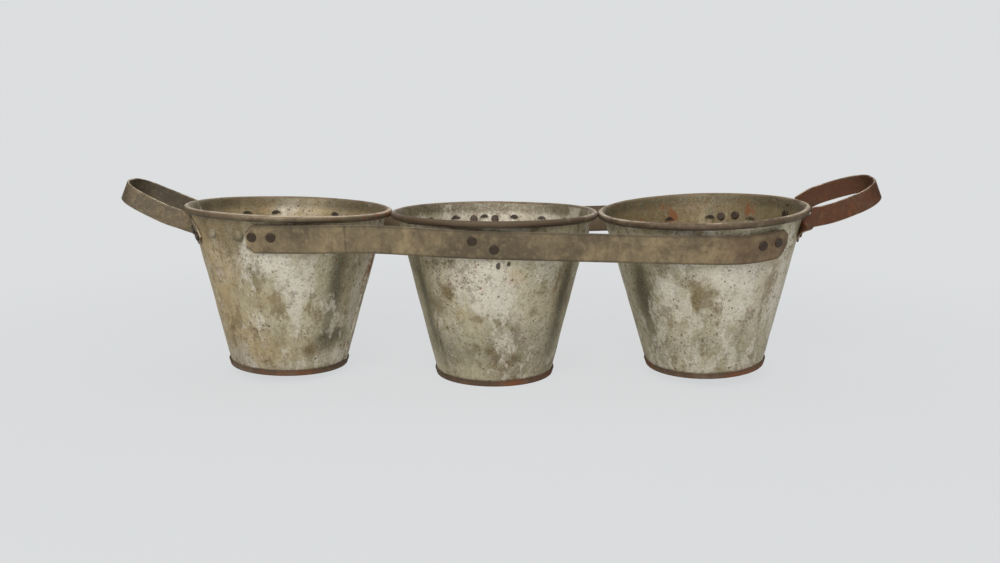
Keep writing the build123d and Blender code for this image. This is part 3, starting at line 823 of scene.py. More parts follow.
def rivet_material():
    """Dark hammered rivet steel."""
    tones = settings().tones
    layers = (
        layer(tones.strip_dark, 260.0, (0.50, 0.70), 0.6, 0.5, 0.4),
        layer(tones.soot, 180.0, (0.52, 0.68), 0.6, 0.7, 0.2),
    )
    return aged_metal("hammered_rivet", tones.rivet, 0.5, 0.4, layers, 0.6)


# Columns round a wall, closer ones within some degrees of its seam, and the step and slack in degrees at
# the lap's edges
WALL_COLUMNS = 400
SEAM_COLUMNS = 25
SEAM_NEAR = 3
LAP_STEP = 0.02
LAP_SLACK = 0.001

# Rows up a wall, closer ones within some millimetres of the ring of bumps, rows round the roll, and the
# gap from the lapped seam to the flange and to the roll
WALL_ROWS = 56
BUMP_ROWS = 23
BUMP_NEAR = 6
ROLL_ROWS = 34
SEAM_GAP = 0.5 * MM

# Shares of a bump's radius: foot and top of its slope, place and width of the painted shade round it,
# edges of its paler top, and edges, outward and upward, of the painted shade over its hollow
BUMP_SLOPE = (1.05, 0.35)
BUMP_SHADE_RING = (0.95, 0.25)
BUMP_TOP = (0.8, 0.4)
HOLLOW_SHADE_OUT = (1.35, 1.0)
HOLLOW_SHADE_UP = (-0.2, 0.6)

# Dents: turn from foot to rim in radians of the two sets of waves, weight of the second set, metres over
# which the foot frees them, width and share of the hold at the bumps, and shares up the wall over which
# the rim stops them
DENT_TURNS = (2.1, -3.7)
DENT_SECOND = 0.8
FOOT_HOLD = (6 * MM, 30 * MM)
BAND_WIDTH = 17 * MM
BAND_HOLD = 0.85
RIM_HOLD = (0.9, 1.0)

# Rolled rim: share up the wall from which it strays, how much fuller its open end is and the degrees
# over which that fades, and depth and width in degrees of the pinch at the seam
STRAY_FROM = 0.5
OPEN_END = 0.13
OPEN_FADE = 9.0
SEAM_PINCH = 0.3
PINCH_WIDTH = 0.55

# Angles above level on the roll, in radians: place and width of the painted shade line in its crease and
# of the painted highlight on its top, edges of the painted shade on its underside, and a stand-in for
# points off the roll
ROLL_SHADE_LINE = (-0.6, 0.25)
ROLL_GLINT = (1.35, 0.5)
ROLL_SHADE_UNDER = (0.7, -0.1)
OFF_ROLL = 9.0

# Strength of the painted shade and dirt inside under the rim and the metres below the roll over which it
# fades in, strengths of the painted shade round the bumps, of their paler tops and of the painted
# shade in their hollows, and the even and lopsided parts of the shade round the bumps
RIM_SHADE_AND_DIRT = 0.7
RIM_SHADE_EDGE = (11 * MM, 4 * MM)
BUMP_SHADE_STRENGTH = 0.75
TOP_STRENGTH = 0.1
HOLLOW_SHADE_STRENGTH = 0.95
BUMP_SHADE_EVEN = 0.7
BUMP_SHADE_LOPSIDED = 0.3

# Two sets of waves of grit: times that each goes round, and its turn from foot to rim in radians
GRIT_TURNS = ((4, 9), (5, -14))


def wall_columns(pot):
    """Azimuths of a wall's columns, even all round with closer ones at the seam and its lap, and half
    of the lap's width in degrees."""
    half = math.degrees(settings().pots.seam_lap / 2 / pot.wall_point(pot.ring, 0)[0])
    even = np.arange(-180, 180, 360 / WALL_COLUMNS)
    lap = np.array([-half - LAP_STEP, -half, half, half + LAP_STEP])
    near = np.linspace(-SEAM_NEAR, SEAM_NEAR, SEAM_COLUMNS)
    return pot.seam + np.unique(np.concatenate([even, lap, near])), half


def wall_profile(pot):
    """Section of a wall: up its inner face, round the roll, back inside the roll and down its outer
    face. Gives radius, height, distance along the wall, side (-1 inside, 0 roll, 1 outside), the roll's
    angle above level, and the ends of the seam."""
    sizes = settings().pots
    low = (sizes.flange_height - pot.foot) / pot.cos + SEAM_GAP
    high = pot.length - pot.roll_outer - SEAM_GAP
    near = pot.ring + np.linspace(-BUMP_NEAR, BUMP_NEAR, BUMP_ROWS) * MM
    seam_ends = (low, low + HAIR, high, high + HAIR)
    levels = np.concatenate([np.linspace(0, pot.length, WALL_ROWS), near, seam_ends])
    levels = np.unique(levels[levels <= pot.length])
    sweep = math.pi - pot.flare - np.linspace(0, sizes.roll_turn, ROLL_ROWS)[1:]
    back = sweep[::-2]
    parts = (
        pot.wall_point(levels, -sizes.sheet),
        pot.roll_point(sweep, pot.roll_outer),
        pot.roll_point(back, pot.roll_inner),
        pot.wall_point(levels[::-1], 0),
    )
    radius, height = np.hstack(parts)
    roll = np.full(len(sweep) + len(back), pot.length)
    along = np.concatenate([levels, roll, levels[::-1]])
    side = np.repeat((-1.0, 0.0, 1.0), (len(levels), len(roll), len(levels)))
    lean = np.full(len(along), OFF_ROLL)
    lean[len(levels) : len(levels) + len(sweep)] = sweep
    return radius, height, along, side, lean, (low, high)


def round_wall(pot, azimuth, along, place):
    """Distance round a wall from an azimuth to its columns, at each row."""
    return np.radians(turn_apart(azimuth, place))[None, :] * pot.wall_point(along, 0)[0]


def bump_fields(pot, azimuth, along):
    """Rise of the flat-topped bumps over a wall, and shares of the painted shade round them, which is
    thicker on one side, of their paler tops and of the painted shade in the upper part of their hollows."""
    sizes = settings().pots
    rise, grime_and_shade, top, hollow_shade = np.zeros((4, len(along), len(azimuth)))
    up = along - pot.ring
    for place in pot.bumps():
        off = round_wall(pot, azimuth, along, place)
        far = np.hypot(off, up) / sizes.bump_radius
        rise = np.maximum(rise, sizes.bump_rise * smooth_step(*BUMP_SLOPE, far))
        # Painted shade round each bump, thicker on one side
        slant = BUMP_SHADE_EVEN + BUMP_SHADE_LOPSIDED * (off - up) / sizes.bump_radius
        grime_and_shade = np.maximum(grime_and_shade, bell(far, *BUMP_SHADE_RING) * slant)
        top = np.maximum(top, smooth_step(*BUMP_TOP, far))
        # Painted shade in the upper part of each hollow, seen from inside
        hollow_shade = np.maximum(hollow_shade, smooth_step(*HOLLOW_SHADE_OUT, far) * smooth_step(*HOLLOW_SHADE_UP, up / sizes.bump_radius))
    return rise, grime_and_shade, top, hollow_shade


def wall_dents(pot, turn, along):
    """Push of the shallow dents: two sets of waves that slant either way up the wall, held by the foot,
    the band of bumps and the rim."""
    first, second = (turn + slant * along / pot.length for slant in DENT_TURNS)
    dents = pot.waves(first, 2, (3, 5, 7))
    dents = dents + DENT_SECOND * pot.waves(second, 3, (4, 6, 9, 11))
    loose = smooth_step(*FOOT_HOLD, along) * (1 - BAND_HOLD * bell(along, pot.ring, BAND_WIDTH))
    loose = loose * (1 - smooth_step(*RIM_HOLD, along / pot.length))
    return settings().pots.dent * dents * loose


def wall_values(pot, azimuth, along, side, lean, fields):
    """Named numbers for a wall's finish: the rim and the inside, the roll's painted shade line, painted
    highlight and painted shade underneath, marks as bell curves on the wall, painted shade and dirt inside
    under the rim, painted shade round and in the bumps with their paler tops, and waves of grit."""
    grime_and_shade, top, hollow_shade = fields
    turn = np.radians(azimuth)[None, :]
    inside, outside = side < 0, side > 0
    values = {
        "rim": (side == 0) * 1.0,
        "inside": inside * 1.0,
        "crease": bell(lean, *ROLL_SHADE_LINE),
        "glint": bell(lean, *ROLL_GLINT),
        "under": smooth_step(*ROLL_SHADE_UNDER, lean),
    }
    for kind in KINDS:
        values[kind] = np.zeros((len(along), len(azimuth)))
    for kind, face, place, share, wide, tall, strength in MARKS[pot.name]:
        off = round_wall(pot, azimuth, along, place) / (wide * MM)
        up = (along - share * pot.length) / (tall * MM)
        values[kind] += strength * np.exp(-(off**2) - up**2) * (side * face >= 0)
    # Painted shade and dirt inside, just under the rim
    values["shade"] += RIM_SHADE_AND_DIRT * inside * smooth_step(*RIM_SHADE_EDGE, pot.length - along)
    # Painted shade round the bumps outside, and their paler tops
    values["shade"] += BUMP_SHADE_STRENGTH * outside * grime_and_shade
    values["pale"] += TOP_STRENGTH * outside * top
    # Painted shade in the upper part of the bumps' hollows inside
    values["soot"] += HOLLOW_SHADE_STRENGTH * inside * hollow_shade
    first, second = (times * turn + climb * along / pot.length for times, climb in GRIT_TURNS)
    values["grit"] = pot.waves(first, 8, (1, 2, 3)) + pot.waves(second, 9, (1, 2, 3))
    return values


def make_wall(pot):
    """Closed sheet of one pot: its section carried round the axis, pushed out by the bumps, the dents
    and the lapped seam. The roll strays from a circle, and is fuller past the seam and pinched at it."""
    sizes = settings().pots
    azimuth, half = wall_columns(pot)
    *profile, (low, high) = wall_profile(pot)
    radius, height, along, side, lean = (part[:, None] for part in profile)
    apart = turn_apart(azimuth, pot.seam)[None, :]
    rise, *fields = bump_fields(pot, azimuth, along)
    on_roll = side == 0
    lapped = (side > 0) & (np.abs(apart) <= half + LAP_SLACK)
    lapped = lapped & (along >= low + HAIR / 2) & (along <= high + HAIR / 2)
    push = rise * ~on_roll + wall_dents(pot, np.radians(azimuth)[None, :], along)
    push = push + sizes.sheet * lapped
    open_end = np.where(apart >= 0, np.exp(-np.maximum(apart, 0) / OPEN_FADE), 0)
    swell = 1 + OPEN_END * open_end - SEAM_PINCH * bell(apart, 0, PINCH_WIDTH)
    radius = np.where(on_roll, pot.ring_radius + (radius - pot.ring_radius) * swell, radius)
    height = np.where(on_roll, pot.wire_z + (height - pot.wire_z) * swell, height)
    out, lift = pot.rim_stray(azimuth)
    stray = smooth_step(STRAY_FROM, 1.0, along / pot.length)
    radius = radius + push * pot.cos + out[None, :] * stray
    height = height - push * pot.sin + lift[None, :] * stray
    points = pot.world(np.broadcast_to(azimuth, radius.shape), radius, height)
    values = wall_values(pot, azimuth, along, side, lean, fields)
    return grid_piece(f"{pot.name}_wall", points, values, round_rows=True, round_columns=True)


# Steps of a rim wire round the pot and round its own section, in degrees, and the share of its radius
# that clears the roll
WIRE_STEP = 1.5
WIRE_SECTION_STEP = 22.5
WIRE_SHARE = 0.97


def make_wire(pot):
    """Ring of the rim wire: a circle carried round the axis with the rim's own stray."""
    azimuth = np.arange(0, 360, WIRE_STEP)[None, :]
    sweep = np.radians(np.arange(0, 360, WIRE_SECTION_STEP))[:, None]
    out, lift = pot.rim_stray(azimuth)
    radius, height = pot.roll_point(sweep, pot.wire_radius * WIRE_SHARE)
    points = pot.world(np.broadcast_to(azimuth, (len(sweep), azimuth.size)), radius + out, height + lift)
    return grid_piece(f"{pot.name}_wire", points, {}, round_rows=True, round_columns=True)


# Pan, in metres: gap to the wall outside and inside it, radius of its heel, and the reach of the waves
# that lift its lip and push it out
PAN_GAP = 0.1 * MM
PAN_INSET = 1.5 * MM
PAN_HEEL = 0.8 * MM
LIP_LIFT = 0.55 * MM
LIP_PUSH = 0.22 * MM

# Share of a pan's radius at which its floor starts round the middle, step round it in degrees, and points
# along its underside, heel, lip, inner side and floor
PAN_MIDDLE = 0.1
PAN_STEP = 1.0
UNDER_POINTS = 12
HEEL_POINTS = 6
LIP_POINTS = 9
INNER_POINTS = 6
OVER_POINTS = 10


def make_pan(pot):
    """Base pan: its section carried round the axis, out under the floor, round the heel, over the round
    lip, down the wall and back over the floor. The lip waves a little in height and reach."""
    sizes = settings().pots
    azimuth = np.arange(0, 360, PAN_STEP)[None, :]
    turn = np.radians(azimuth)
    top = (sizes.flange_height - pot.foot) / pot.cos
    half = (sizes.flange_out - PAN_GAP) / 2
    under = np.linspace(PAN_MIDDLE, 1, UNDER_POINTS)[:-1] * (pot.pan_radius - PAN_HEEL)
    heel_turn = np.linspace(-math.pi / 2, 0, HEEL_POINTS)
    lip_turn = np.linspace(0, math.pi, LIP_POINTS)
    lip_r, lip_h = pot.wall_point(top - half, sizes.flange_out - half)
    inner_r, inner_h = pot.wall_point(np.linspace(top - half, 0, INNER_POINTS)[1:], PAN_GAP)
    over = np.linspace(1, PAN_MIDDLE, OVER_POINTS) * (pot.base_radius - PAN_INSET)
    parts = (
        (under, 0 * under),
        (pot.pan_radius - PAN_HEEL + PAN_HEEL * np.cos(heel_turn), PAN_HEEL + PAN_HEEL * np.sin(heel_turn)),
        (lip_r + half * np.cos(lip_turn), lip_h + half * np.sin(lip_turn)),
        (inner_r, np.maximum(inner_h, sizes.pan_sheet)),
        (over, 0 * over + sizes.pan_sheet),
    )
    radius, height = np.hstack(parts)[..., None]
    lip = np.repeat((0.0, 0.0, 1.0, 0.0, 0.0), [len(part[0]) for part in parts])[:, None]
    climb = LIP_LIFT * lip * pot.waves(turn, 5, (3, 5, 8, 13, 21))
    reach = LIP_PUSH * lip * pot.waves(turn, 6, (4, 7, 11, 17))
    points = pot.world(np.broadcast_to(azimuth, climb.shape), radius + reach, height + climb)
    return grid_piece(f"{pot.name}_pan", points, {"lip": lip}, round_columns=True)


# Flat strips: corner radius as a share of the thickness, and points across a face and round an edge
BAND_CORNER = 0.32
BAND_FACE_POINTS = 13
BAND_EDGE_POINTS = 9


def band_section(thickness):
    """Closed outline of a flat strip with rounded edges: share across (-1 to 1), and the steps across
    and out that round the corners."""
    corner = BAND_CORNER * thickness
    flat = np.linspace(-1, 1, BAND_FACE_POINTS)
    turn = np.linspace(math.pi / 2, -math.pi / 2, BAND_EDGE_POINTS)[1:-1]
    straight = thickness / 2 - corner
    edge_out = corner * np.sin(turn) + straight * np.sign(np.round(np.sin(turn), 6))
    share = np.concatenate([flat, np.ones(len(turn)), flat[::-1], -np.ones(len(turn))])
    across = np.concatenate([0 * flat, corner * np.cos(turn), 0 * flat, -corner * np.cos(turn[::-1])])
    out = np.concatenate([0 * flat + thickness / 2, edge_out, 0 * flat - thickness / 2, edge_out[::-1]])
    return share, across, out, corner


def make_band(name, centre, wide, facing, upper, lower, thickness, values):
    """Flat strip along a path: a rounded section set at each centre, with its own reach to either
    edge. Values are named numbers along the path; edge and hollow are added across it."""
    share, across, out, corner = band_section(thickness)
    reach = np.where(share[None, :] > 0, upper[:, None] - corner, lower[:, None] - corner)
    step = share[None, :] * reach + across[None, :]
    points = centre[:, None] + wide[:, None] * step[..., None] + facing[:, None] * out[None, :, None]
    rows = {label: numbers[:, None] for label, numbers in values.items()}
    rows["edge"] = np.abs(share + across / thickness)[None, :]
    rows["hollow"] = (out < 0)[None, :] * 1.0
    return grid_piece(name, points, rows, round_columns=True)


# Points along a strip, and the first seeds and reaches of the waves that push it out and lift it
STRIP_POINTS = 420
RIPPLE_SEED = 40
RIPPLE = 0.14 * MM
SAG_SEED = 50
SAG = 0.25 * MM

# Wear of the front strip, with lengths in metres and places along the row from the middle: place, fade
# and push of a crease, a fainter line and its strength, width of both lines, place, width and height of
# a bow, place and width of a dull stretch, distances before and after the start of the bend over which
# the strip turns redder, and reach and slope of the worn corner
CREASE_PLACE = -104 * MM
CREASE_FADE = 5 * MM
CREASE_PUSH = 0.4 * MM
FAINT_PLACE = -131 * MM
FAINT_STRENGTH = 0.6
LINE_WIDTH = 0.9 * MM
BOW_PLACE = -85 * MM
BOW_WIDTH = 45 * MM
BOW_HEIGHT = 2.4 * MM
DIM_PLACE = 8 * MM
DIM_WIDTH = 55 * MM
RED_BEFORE = 20 * MM
RED_AFTER = 25 * MM
WORN_REACH = 9 * MM
WORN_SLOPE = 0.45


def strip_path(pots, side):
    """Clean path of a long strip: straight along the pots, leaning with the middle wall, then bent
    round the right pot about an axis along its own width, so that it climbs there. Gives the distance
    along the row and, at each point, the centre, the direction out and the direction across."""
    straps = settings().straps
    front = side < 0
    middle, left, right = pots["middle"], pots["left"], pots["right"]
    below, over = (straps.front_below, straps.front_over) if front else (straps.rear_below, straps.rear_over)
    fall, swing = (straps.front_fall, 0.0) if front else (-straps.rear_rise, straps.rear_swing)
    along = middle.length - middle.roll_outer - below - straps.width / 2
    radius, height = middle.wall_point(along, settings().pots.bump_rise + over + straps.thickness / 2)
    level = np.array((math.cos(swing), side * math.sin(swing), 0.0))
    ahead = level * math.cos(fall) - np.array((0.0, 0.0, math.sin(fall)))
    above = level * math.sin(fall) + np.array((0.0, 0.0, math.cos(fall)))
    back = np.cross(above, ahead)
    out = back * side * middle.cos - above * middle.sin
    wide = back * side * middle.sin + above * middle.cos
    bend_radius = radius / middle.cos
    run = np.linspace(left.x - straps.overhang, right.x + straps.wrap, STRIP_POINTS)
    straight = np.minimum(run, right.x)
    bend = -side * (run - straight) / bend_radius
    corner = ahead * right.x + back * side * radius + np.array((0.0, 0.0, height)) - out * bend_radius
    facing = turned(out, wide, bend)
    centre = corner + ahead * (straight - right.x)[:, None] + facing * bend_radius
    return run, centre, facing, np.broadcast_to(wide, centre.shape)


def make_strip(pots, side):
    """Long strip along its clean path with clipped corners. Waves push it out and up, and the front one
    has a crease, a bow and a worn lower corner as bell curves and slopes along it."""
    straps = settings().straps
    front = side < 0
    run, centre, facing, wide = strip_path(pots, side)
    start, stop = run[0], run[-1]
    turn = (run - start) / (stop - start) * 2 * math.pi
    ripple = waves(turn, RIPPLE_SEED + side, (2, 3, 5, 8))
    sag = waves(turn, SAG_SEED + side, (1, 2, 4))
    crease = np.exp(-np.abs(run - CREASE_PLACE) / CREASE_FADE)
    centre = centre + facing * (RIPPLE * (1 + ripple) + CREASE_PUSH * crease * front)[:, None]
    bow = BOW_HEIGHT * bell(run, BOW_PLACE, BOW_WIDTH) * front
    centre = centre + wide * (SAG * sag + bow)[:, None]
    upper = straps.width / 2 - np.clip(straps.clip - np.minimum(run - start, stop - run), 0, None)
    lower = upper - WORN_SLOPE * front * np.clip(WORN_REACH - (stop - run), 0, None)
    corner = pots["right"].x
    line = bell(run, CREASE_PLACE, LINE_WIDTH) + FAINT_STRENGTH * bell(run, FAINT_PLACE, LINE_WIDTH)
    values = {
        "end": smooth_step(corner - RED_BEFORE, corner + RED_AFTER, run) * front,
        "line": line * front,
        "dim": bell(run, DIM_PLACE, DIM_WIDTH) * front,
    }
    name = "front_strip" if front else "rear_strip"
    return make_band(name, centre, wide, facing, upper, lower, straps.thickness, values)


# Points tried for a leg's landing, and points along a foot, a leg, a bend, the loop's end and a fold
LANDING_POINTS = 4000
FOOT_POINTS = 24
LEG_POINTS = 70
BEND_POINTS = 22
END_POINTS = 12
FOLD_POINTS = 16

# Handles, in metres: start of a foot past its leg, gap from a foot to the wall, start of a leg's plan,
# distance off the wall at which a leg ends, pull of its fold to the foot, clearance from the rolled rim
# and least width of a leg under it
FOOT_START = 5.0 * MM
FOOT_GAP = 0.1 * MM
LEG_START = -10 * MM
LEG_CLEAR = 6.0 * MM
FOLD_PULL = 4.5 * MM
RIM_CLEAR = 0.7 * MM
LEG_LEAST = 4 * MM

# Points over which the lifts of the legs are smoothed
LIFT_SPAN = 15


class HandlePlace:
    """Frame of one loop handle and the places of its two feet, from the pot that carries it."""

    def __init__(self, pot, azimuth, rise, roll, edge, toe):
        straps = settings().straps
        self.pot, self.toe = pot, toe
        slope, tip = math.radians(rise), math.radians(roll)
        away = pot.radial(azimuth)
        self.along = away * math.cos(slope) + pot.up * math.sin(slope)
        level = pot.up * math.cos(slope) - away * math.sin(slope)
        self.normal = level * math.cos(tip) - np.cross(level, self.along) * math.sin(tip)
        self.across = np.cross(self.normal, self.along)
        rim = pot.origin + away * pot.ring_radius + pot.up * pot.wire_z
        self.origin = rim + level * (edge * MM - straps.grip_width / 2)

    def world(self, plan, lift):
        """Points of the loop's plan (reach, side), lifted along the loop's normal."""
        flat = self.origin + plan[:, :1] * self.along + plan[:, 1:] * self.across
        return flat + self.normal * lift[:, None]

    def off_wall(self, points):
        """Distance of points from the wall's outer face."""
        _, radius, height = self.pot.local(points)
        along = (height - self.pot.foot) / self.pot.cos
        return (radius - self.pot.wall_point(along, 0)[0]) * self.pot.cos

    def leg(self, reach):
        """Plan of a straight leg at reaches past the rim wire."""
        straps = settings().straps
        side = straps.spread + (straps.end - straps.spread) * reach / straps.reach
        return np.stack([reach, side], axis=1)

    def root(self, turn):
        """Azimuth and distance up the wall where the straight leg on one side lands."""
        straps = settings().straps
        reach = np.linspace(-straps.grip_width, straps.reach, LANDING_POINTS)
        line = self.world(self.leg(reach) * np.array((1, turn)), 0 * reach)
        hit = line[np.argmin(np.abs(self.off_wall(line)))]
        azimuth, _, height = self.pot.local(hit)
        return float(azimuth), float((height - self.pot.foot) / self.pot.cos)

    def foot(self, turn):
        """Points down the middle of one foot from its leg to its tip, and the direction across it."""
        straps = settings().straps
        pot = self.pot
        azimuth, along = self.root(turn)
        way = turn * self.toe
        step = np.linspace(FOOT_START, straps.foot_length, FOOT_POINTS)
        up_wall = along - step * math.sin(straps.foot_fall)
        radius = pot.wall_point(up_wall, 0)[0]
        place = azimuth + way * np.degrees(step * math.cos(straps.foot_fall) / radius)
        points = pot.world(place, *pot.wall_point(up_wall, FOOT_GAP + straps.grip_thickness / 2))
        tangent = pot.radial(place + 90)
        climb = pot.radial(place) * pot.sin + pot.up * pot.cos
        wide = climb * math.cos(straps.foot_fall) + way * tangent * math.sin(straps.foot_fall)
        return points, wide

    def plan(self):
        """Loop's plan from near one wall round the end to the other: straight legs and two bends."""
        straps = settings().straps
        leg = unit(np.array((straps.reach, straps.end - straps.spread)))
        short = straps.bend * math.tan(math.acos(-leg[1]) / 2)
        begin = np.array((straps.reach, straps.end)) - leg * short
        inner = np.array((straps.reach - straps.bend, straps.end - short))
        first = math.atan2(begin[1] - inner[1], begin[0] - inner[0])
        sweep = first * (1 - np.linspace(0, 1, BEND_POINTS))
        bend = inner + straps.bend * np.stack([np.cos(sweep), np.sin(sweep)], axis=1)
        half = np.concatenate([self.leg(np.linspace(LEG_START, begin[0], LEG_POINTS)[:-1]), bend])
        across = np.linspace(inner[1], -inner[1], END_POINTS)[1:-1]
        cross = np.stack([np.full(len(across), straps.reach), across], axis=1)
        mirror = half[::-1] * np.array((1.0, -1.0))
        return np.concatenate([half, cross, mirror])[::-1]


def fold(start, start_way, stop, stop_way):
    """Smooth bend between two points: a cubic curve that leaves and lands along given ways."""
    share = np.linspace(0, 1, FOLD_POINTS)[1:-1, None]
    first, second = start + start_way * FOLD_PULL, stop - stop_way * FOLD_PULL
    rest = 1 - share
    return rest**3 * start + 3 * rest**2 * share * first + 3 * rest * share**2 * second + share**3 * stop


def handle_path(place):
    """Centre line of a handle from foot to foot, the direction across its strip, and the cut at its
    corners. The lifts bend the legs up or down, and each leg folds to its foot by a cubic bend."""
    name = place.pot.name
    plan = place.plan()
    reaches, *bends = (np.array(row) * MM for row in LEG_LIFTS[name])
    lift = np.where(plan[:, 1] < 0, *[np.interp(plan[:, 0], reaches, bend) for bend in bends])
    soft = np.ones(LIFT_SPAN) / LIFT_SPAN
    lift = np.convolve(np.pad(lift, LIFT_SPAN - 1, mode="edge"), np.convolve(soft, soft), mode="valid")
    longer = np.where(plan[:, :1] > 0, np.array((STRETCHES[name], 1.0)), 1.0)
    points = place.world(plan * longer, lift)
    points = points[place.off_wall(points) > LEG_CLEAR]
    loop = (points, np.broadcast_to(place.normal, points.shape), np.zeros(len(points)))
    ends = []
    for turn, tip, inner in ((-1, points[0], points[1]), (1, points[-1], points[-2])):
        foot, foot_wide = place.foot(turn)
        bend = fold(tip, unit(tip - inner), foot[0], unit(foot[1] - foot[0]))
        blend = smooth_step(0, 1, np.linspace(0, 1, len(bend)))[:, None]
        bend_wide = unit(place.normal * (1 - blend) + foot_wide[0] * blend)
        to_tip = np.linalg.norm(foot[-1] - foot, axis=1)
        foot_cut = np.clip(settings().straps.foot_clip - to_tip, 0, None)
        cut = np.concatenate([np.zeros(len(bend)), foot_cut])
        ends.append((np.concatenate([bend, foot]), np.concatenate([bend_wide, foot_wide]), cut))
    first, last = ends
    return [np.concatenate([head[::-1], body, tail]) for head, body, tail in zip(first, loop, last)]


def make_handle(place):
    """Loop handle: a strip on edge along its path. Under the rolled rim its upper edge dips to where a
    line across the strip meets a circle round the rim wire, found as the root of a square equation."""
    straps, pot = settings().straps, place.pot
    centre, wide, cut = handle_path(place)
    ahead = unit(np.gradient(centre, axis=0))
    wide = unit(wide - ahead * (wide * ahead).sum(1, keepdims=True))
    facing = np.cross(ahead, wide)
    half = straps.grip_width / 2 - cut
    azimuth, radius, height = pot.local(centre)
    out, up = radius - pot.ring_radius, height - pot.wire_z
    rise, lean = wide @ pot.up, (wide * pot.radial(azimuth)).sum(1)
    steep = rise**2 + lean**2
    closing = out * lean + up * rise
    apart = out**2 + up**2 - (pot.roll_outer + RIM_CLEAR) ** 2
    touch = closing**2 - steep * apart
    reach = (-closing - np.sqrt(np.clip(touch, 0, None))) / steep
    upper = np.where(touch > 0, np.minimum(half, reach), half)
    upper = np.maximum(upper, LEG_LEAST - half)
    return make_band(f"{pot.name}_handle_loop", centre, wide, facing, upper, half, straps.grip_thickness, {})


class PLANTER_OT_pots(Operator):
    """Make the walls with their rolled rims, the rim wires and the base pans"""

    bl_idname = "planter.pots"
    bl_label = "Pots"

    def execute(self, context):
        zinc, pan = zinc_material(), pan_material()
        for name, pot in all_pots().items():
            place_piece(make_wall(pot), f"{name}_pot_wall", zinc)
            place_piece(make_wire(pot), f"{name}_rim_wire", rivet_material())
            place_piece(make_pan(pot), f"{name}_base_pan", pan)
        return {"FINISHED"}


class PLANTER_OT_strips(Operator):
    """Make the two long strips"""

    bl_idname = "planter.strips"
    bl_label = "Strips"

    def execute(self, context):
        pots = all_pots()
        place_piece(make_strip(pots, -1), "front_strip", strip_material())
        place_piece(make_strip(pots, 1), "rear_strip", strip_material())
        return {"FINISHED"}


class PLANTER_OT_handles(Operator):
    """Make the two loop handles"""

    bl_idname = "planter.handles"
    bl_label = "Handles"

    def execute(self, context):
        pots, tones = all_pots(), settings().tones
        taupe = (tones.grip, tones.strip_light, tones.strip_dark, 0.2, tones.soot)
        brown = (tones.grip_rust, tones.grip_worn, tones.rim_rust_and_shade, 0.5, tones.grip_rust)
        steels = {
            "left": grip_material("taupe_handle", *taupe),
            "right": grip_material("rusty_handle", *brown),
        }
        for name, steel in steels.items():
            place = HandlePlace(pots[name], *HANDLE_SETS[name])
            place_piece(make_handle(place), f"{name}_handle", steel)
        return {"FINISHED"}


class PLANTER_OT_rivets(Operator):
    """Give the rivets their dark hammered steel"""

    bl_idname = "planter.rivets"
    bl_label = "Rivets"

    def execute(self, context):
        steel = rivet_material()
        for name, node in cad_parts.items():
            if "_rivet_" in name:
                node.data.materials.clear()
                node.data.materials.append(steel)
        return {"FINISHED"}


# Lights: place and size in metres, and the point that they are aimed at
LIGHTS = {"key": ((-0.25, -1.75, 1.35), (1.5, 1.1)), "top": ((0.1, 0.15, 1.75), (1.7, 1.2))}
LIGHT_AIM = (0, 0, 0.08)

# Floor: half its side and the distances over which its shadow fades out, in metres, and its roughness
FLOOR_REACH = 4.0
SHADOW_FADE = (0.3, 0.75)
FLOOR_ROUGH = 0.9

# Room that shows in the metal: edges of its bright front, back and top as parts of a unit direction, and
# the levels of its dark and bright parts
ROOM_FRONT = (0.05, -0.75)
ROOM_BACK = (0.62, 0.92)
ROOM_TOP = (0.35, 0.85)
ROOM_LEVELS = (0.07, 0.85)


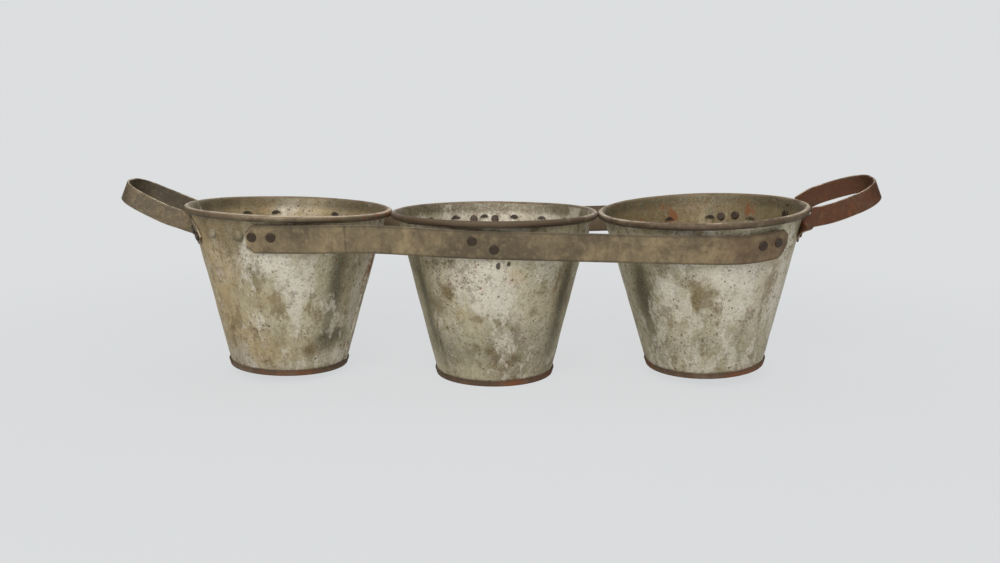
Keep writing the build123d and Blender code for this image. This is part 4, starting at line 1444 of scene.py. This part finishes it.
class PLANTER_OT_stage(Operator):
    """Set up the floor, the background, the lights and the camera"""

    bl_idname = "planter.stage"
    bl_label = "Studio"

    def execute(self, context):
        scene, studio = context.scene, settings().studio
        scene.view_settings.view_transform = "Standard"
        self.make_floor(scene, studio)
        self.make_world(scene, studio)
        self.make_light(scene, "key", *LIGHTS["key"], studio.key)
        self.make_light(scene, "top", *LIGHTS["top"], studio.top)
        camera = bpy.data.objects.new("camera", bpy.data.cameras.new("camera"))
        camera.data.lens = studio.lens
        camera.location = studio.place
        camera.rotation_euler = Euler(studio.turn)
        scene.collection.objects.link(camera)
        scene.camera = camera
        return {"FINISHED"}

    def make_floor(self, scene, studio):
        """Pale floor that shows a soft shadow near the object and the plain ground far off."""
        mesh = bpy.data.meshes.new("floor")
        far = FLOOR_REACH
        corners = [(-far, -far, 0), (far, -far, 0), (far, far, 0), (-far, far, 0)]
        mesh.from_pydata(corners, [], [(0, 1, 2, 3)])
        floor = bpy.data.objects.new("floor", mesh)
        scene.collection.objects.link(floor)
        material = bpy.data.materials.new("floor")
        material.use_nodes = True
        shader = Shader(material.node_tree)
        principled = material.node_tree.nodes["Principled BSDF"]
        shader.feed(principled.inputs["Base Color"], tuple(studio.ground))
        principled.inputs["Roughness"].default_value = FLOOR_ROUGH
        principled.inputs["Specular IOR Level"].default_value = 0.0
        coords = shader.add("ShaderNodeTexCoord").outputs["Object"]
        away = shader.add("ShaderNodeVectorMath", {0: coords}, operation="LENGTH").outputs["Value"]
        shown = shader.math("SUBTRACT", 1.0, shader.ramp(away, *SHADOW_FADE))
        lit = shader.math("MULTIPLY", shown, studio.floor_share)
        camera_ray = shader.add("ShaderNodeLightPath").outputs["Is Camera Ray"]
        plain = shader.math("MULTIPLY", camera_ray, shader.math("SUBTRACT", 1.0, lit))
        glow = shader.add("ShaderNodeEmission", {"Color": tuple(studio.ground), "Strength": 1.0})
        shaders = {0: plain, 1: principled.outputs["BSDF"], 2: glow.outputs["Emission"]}
        mixed = shader.add("ShaderNodeMixShader", shaders)
        output = material.node_tree.nodes["Material Output"]
        shader.feed(output.inputs["Surface"], mixed.outputs["Shader"])
        mesh.materials.append(material)

    def make_world(self, scene, studio):
        """Plain ground for the camera, an even room for the light, and a room that is dark at the
        sides and bright in front, behind and above for reflections."""
        world = bpy.data.worlds.new("studio")
        world.use_nodes = True
        scene.world = world
        shader = Shader(world.node_tree)
        background = world.node_tree.nodes["Background"]
        path = shader.add("ShaderNodeLightPath").outputs
        coords = shader.add("ShaderNodeTexCoord").outputs["Generated"]
        parts = shader.add("ShaderNodeSeparateXYZ", {"Vector": coords}).outputs
        front = shader.ramp(parts["Y"], *ROOM_FRONT)
        behind = shader.ramp(parts["Y"], *ROOM_BACK)
        above = shader.ramp(parts["Z"], *ROOM_TOP)
        bright = shader.math("MAXIMUM", shader.math("MAXIMUM", front, behind), above)
        gloss = shader.mix(bright, *ROOM_LEVELS)
        even = shader.mix(path["Is Glossy Ray"], studio.room, gloss)
        level = shader.mix(path["Is Camera Ray"], even, 1.0)
        tone = shader.blend(path["Is Camera Ray"], (1.0, 1.0, 1.0), tuple(studio.ground))
        shader.feed(background.inputs["Color"], tone)
        shader.feed(background.inputs["Strength"], level)

    def make_light(self, scene, name, place, size, watts):
        """Large soft light aimed at the row."""
        light = bpy.data.lights.new(name, "AREA")
        light.shape = "RECTANGLE"
        light.size, light.size_y = size
        light.energy = watts
        lamp = bpy.data.objects.new(name, light)
        lamp.location = place
        aim = Vector(LIGHT_AIM) - Vector(place)
        lamp.rotation_euler = aim.to_track_quat("-Z", "Y").to_euler()
        scene.collection.objects.link(lamp)


STEPS_IN_ORDER = (
    PLANTER_OT_pots,
    PLANTER_OT_strips,
    PLANTER_OT_handles,
    PLANTER_OT_rivets,
    PLANTER_OT_stage,
)


class PLANTER_PT_panel(Panel):
    """Panel that lists the steps and their settings"""

    bl_label = "Herb planter"
    bl_idname = "PLANTER_PT_panel"
    bl_space_type = "VIEW_3D"
    bl_region_type = "UI"
    bl_category = "Planter"

    def draw(self, context):
        for step in STEPS_IN_ORDER:
            self.layout.operator(step.bl_idname)
        planter = context.scene.herb_planter
        for group in (planter.pots, planter.straps, planter.tones, planter.studio):
            box = self.layout.box()
            for label in group.__annotations__:
                box.prop(group, label)


CLASSES = (
    PlanterPots,
    PlanterStraps,
    PlanterTones,
    PlanterStudio,
    PlanterSettings,
    *STEPS_IN_ORDER,
    PLANTER_PT_panel,
)


def register():
    """Register the classes and the scene's settings."""
    for item in CLASSES:
        bpy.utils.register_class(item)
    bpy.types.Scene.herb_planter = PointerProperty(type=PlanterSettings)


def unregister():
    """Take the settings and classes out again."""
    del bpy.types.Scene.herb_planter
    for item in reversed(CLASSES):
        bpy.utils.unregister_class(item)


def main():
    """Build every piece in order."""
    register()
    bpy.ops.planter.pots()
    bpy.ops.planter.strips()
    bpy.ops.planter.handles()
    bpy.ops.planter.rivets()
    bpy.ops.planter.stage()


if __name__ == "__main__":
    main()
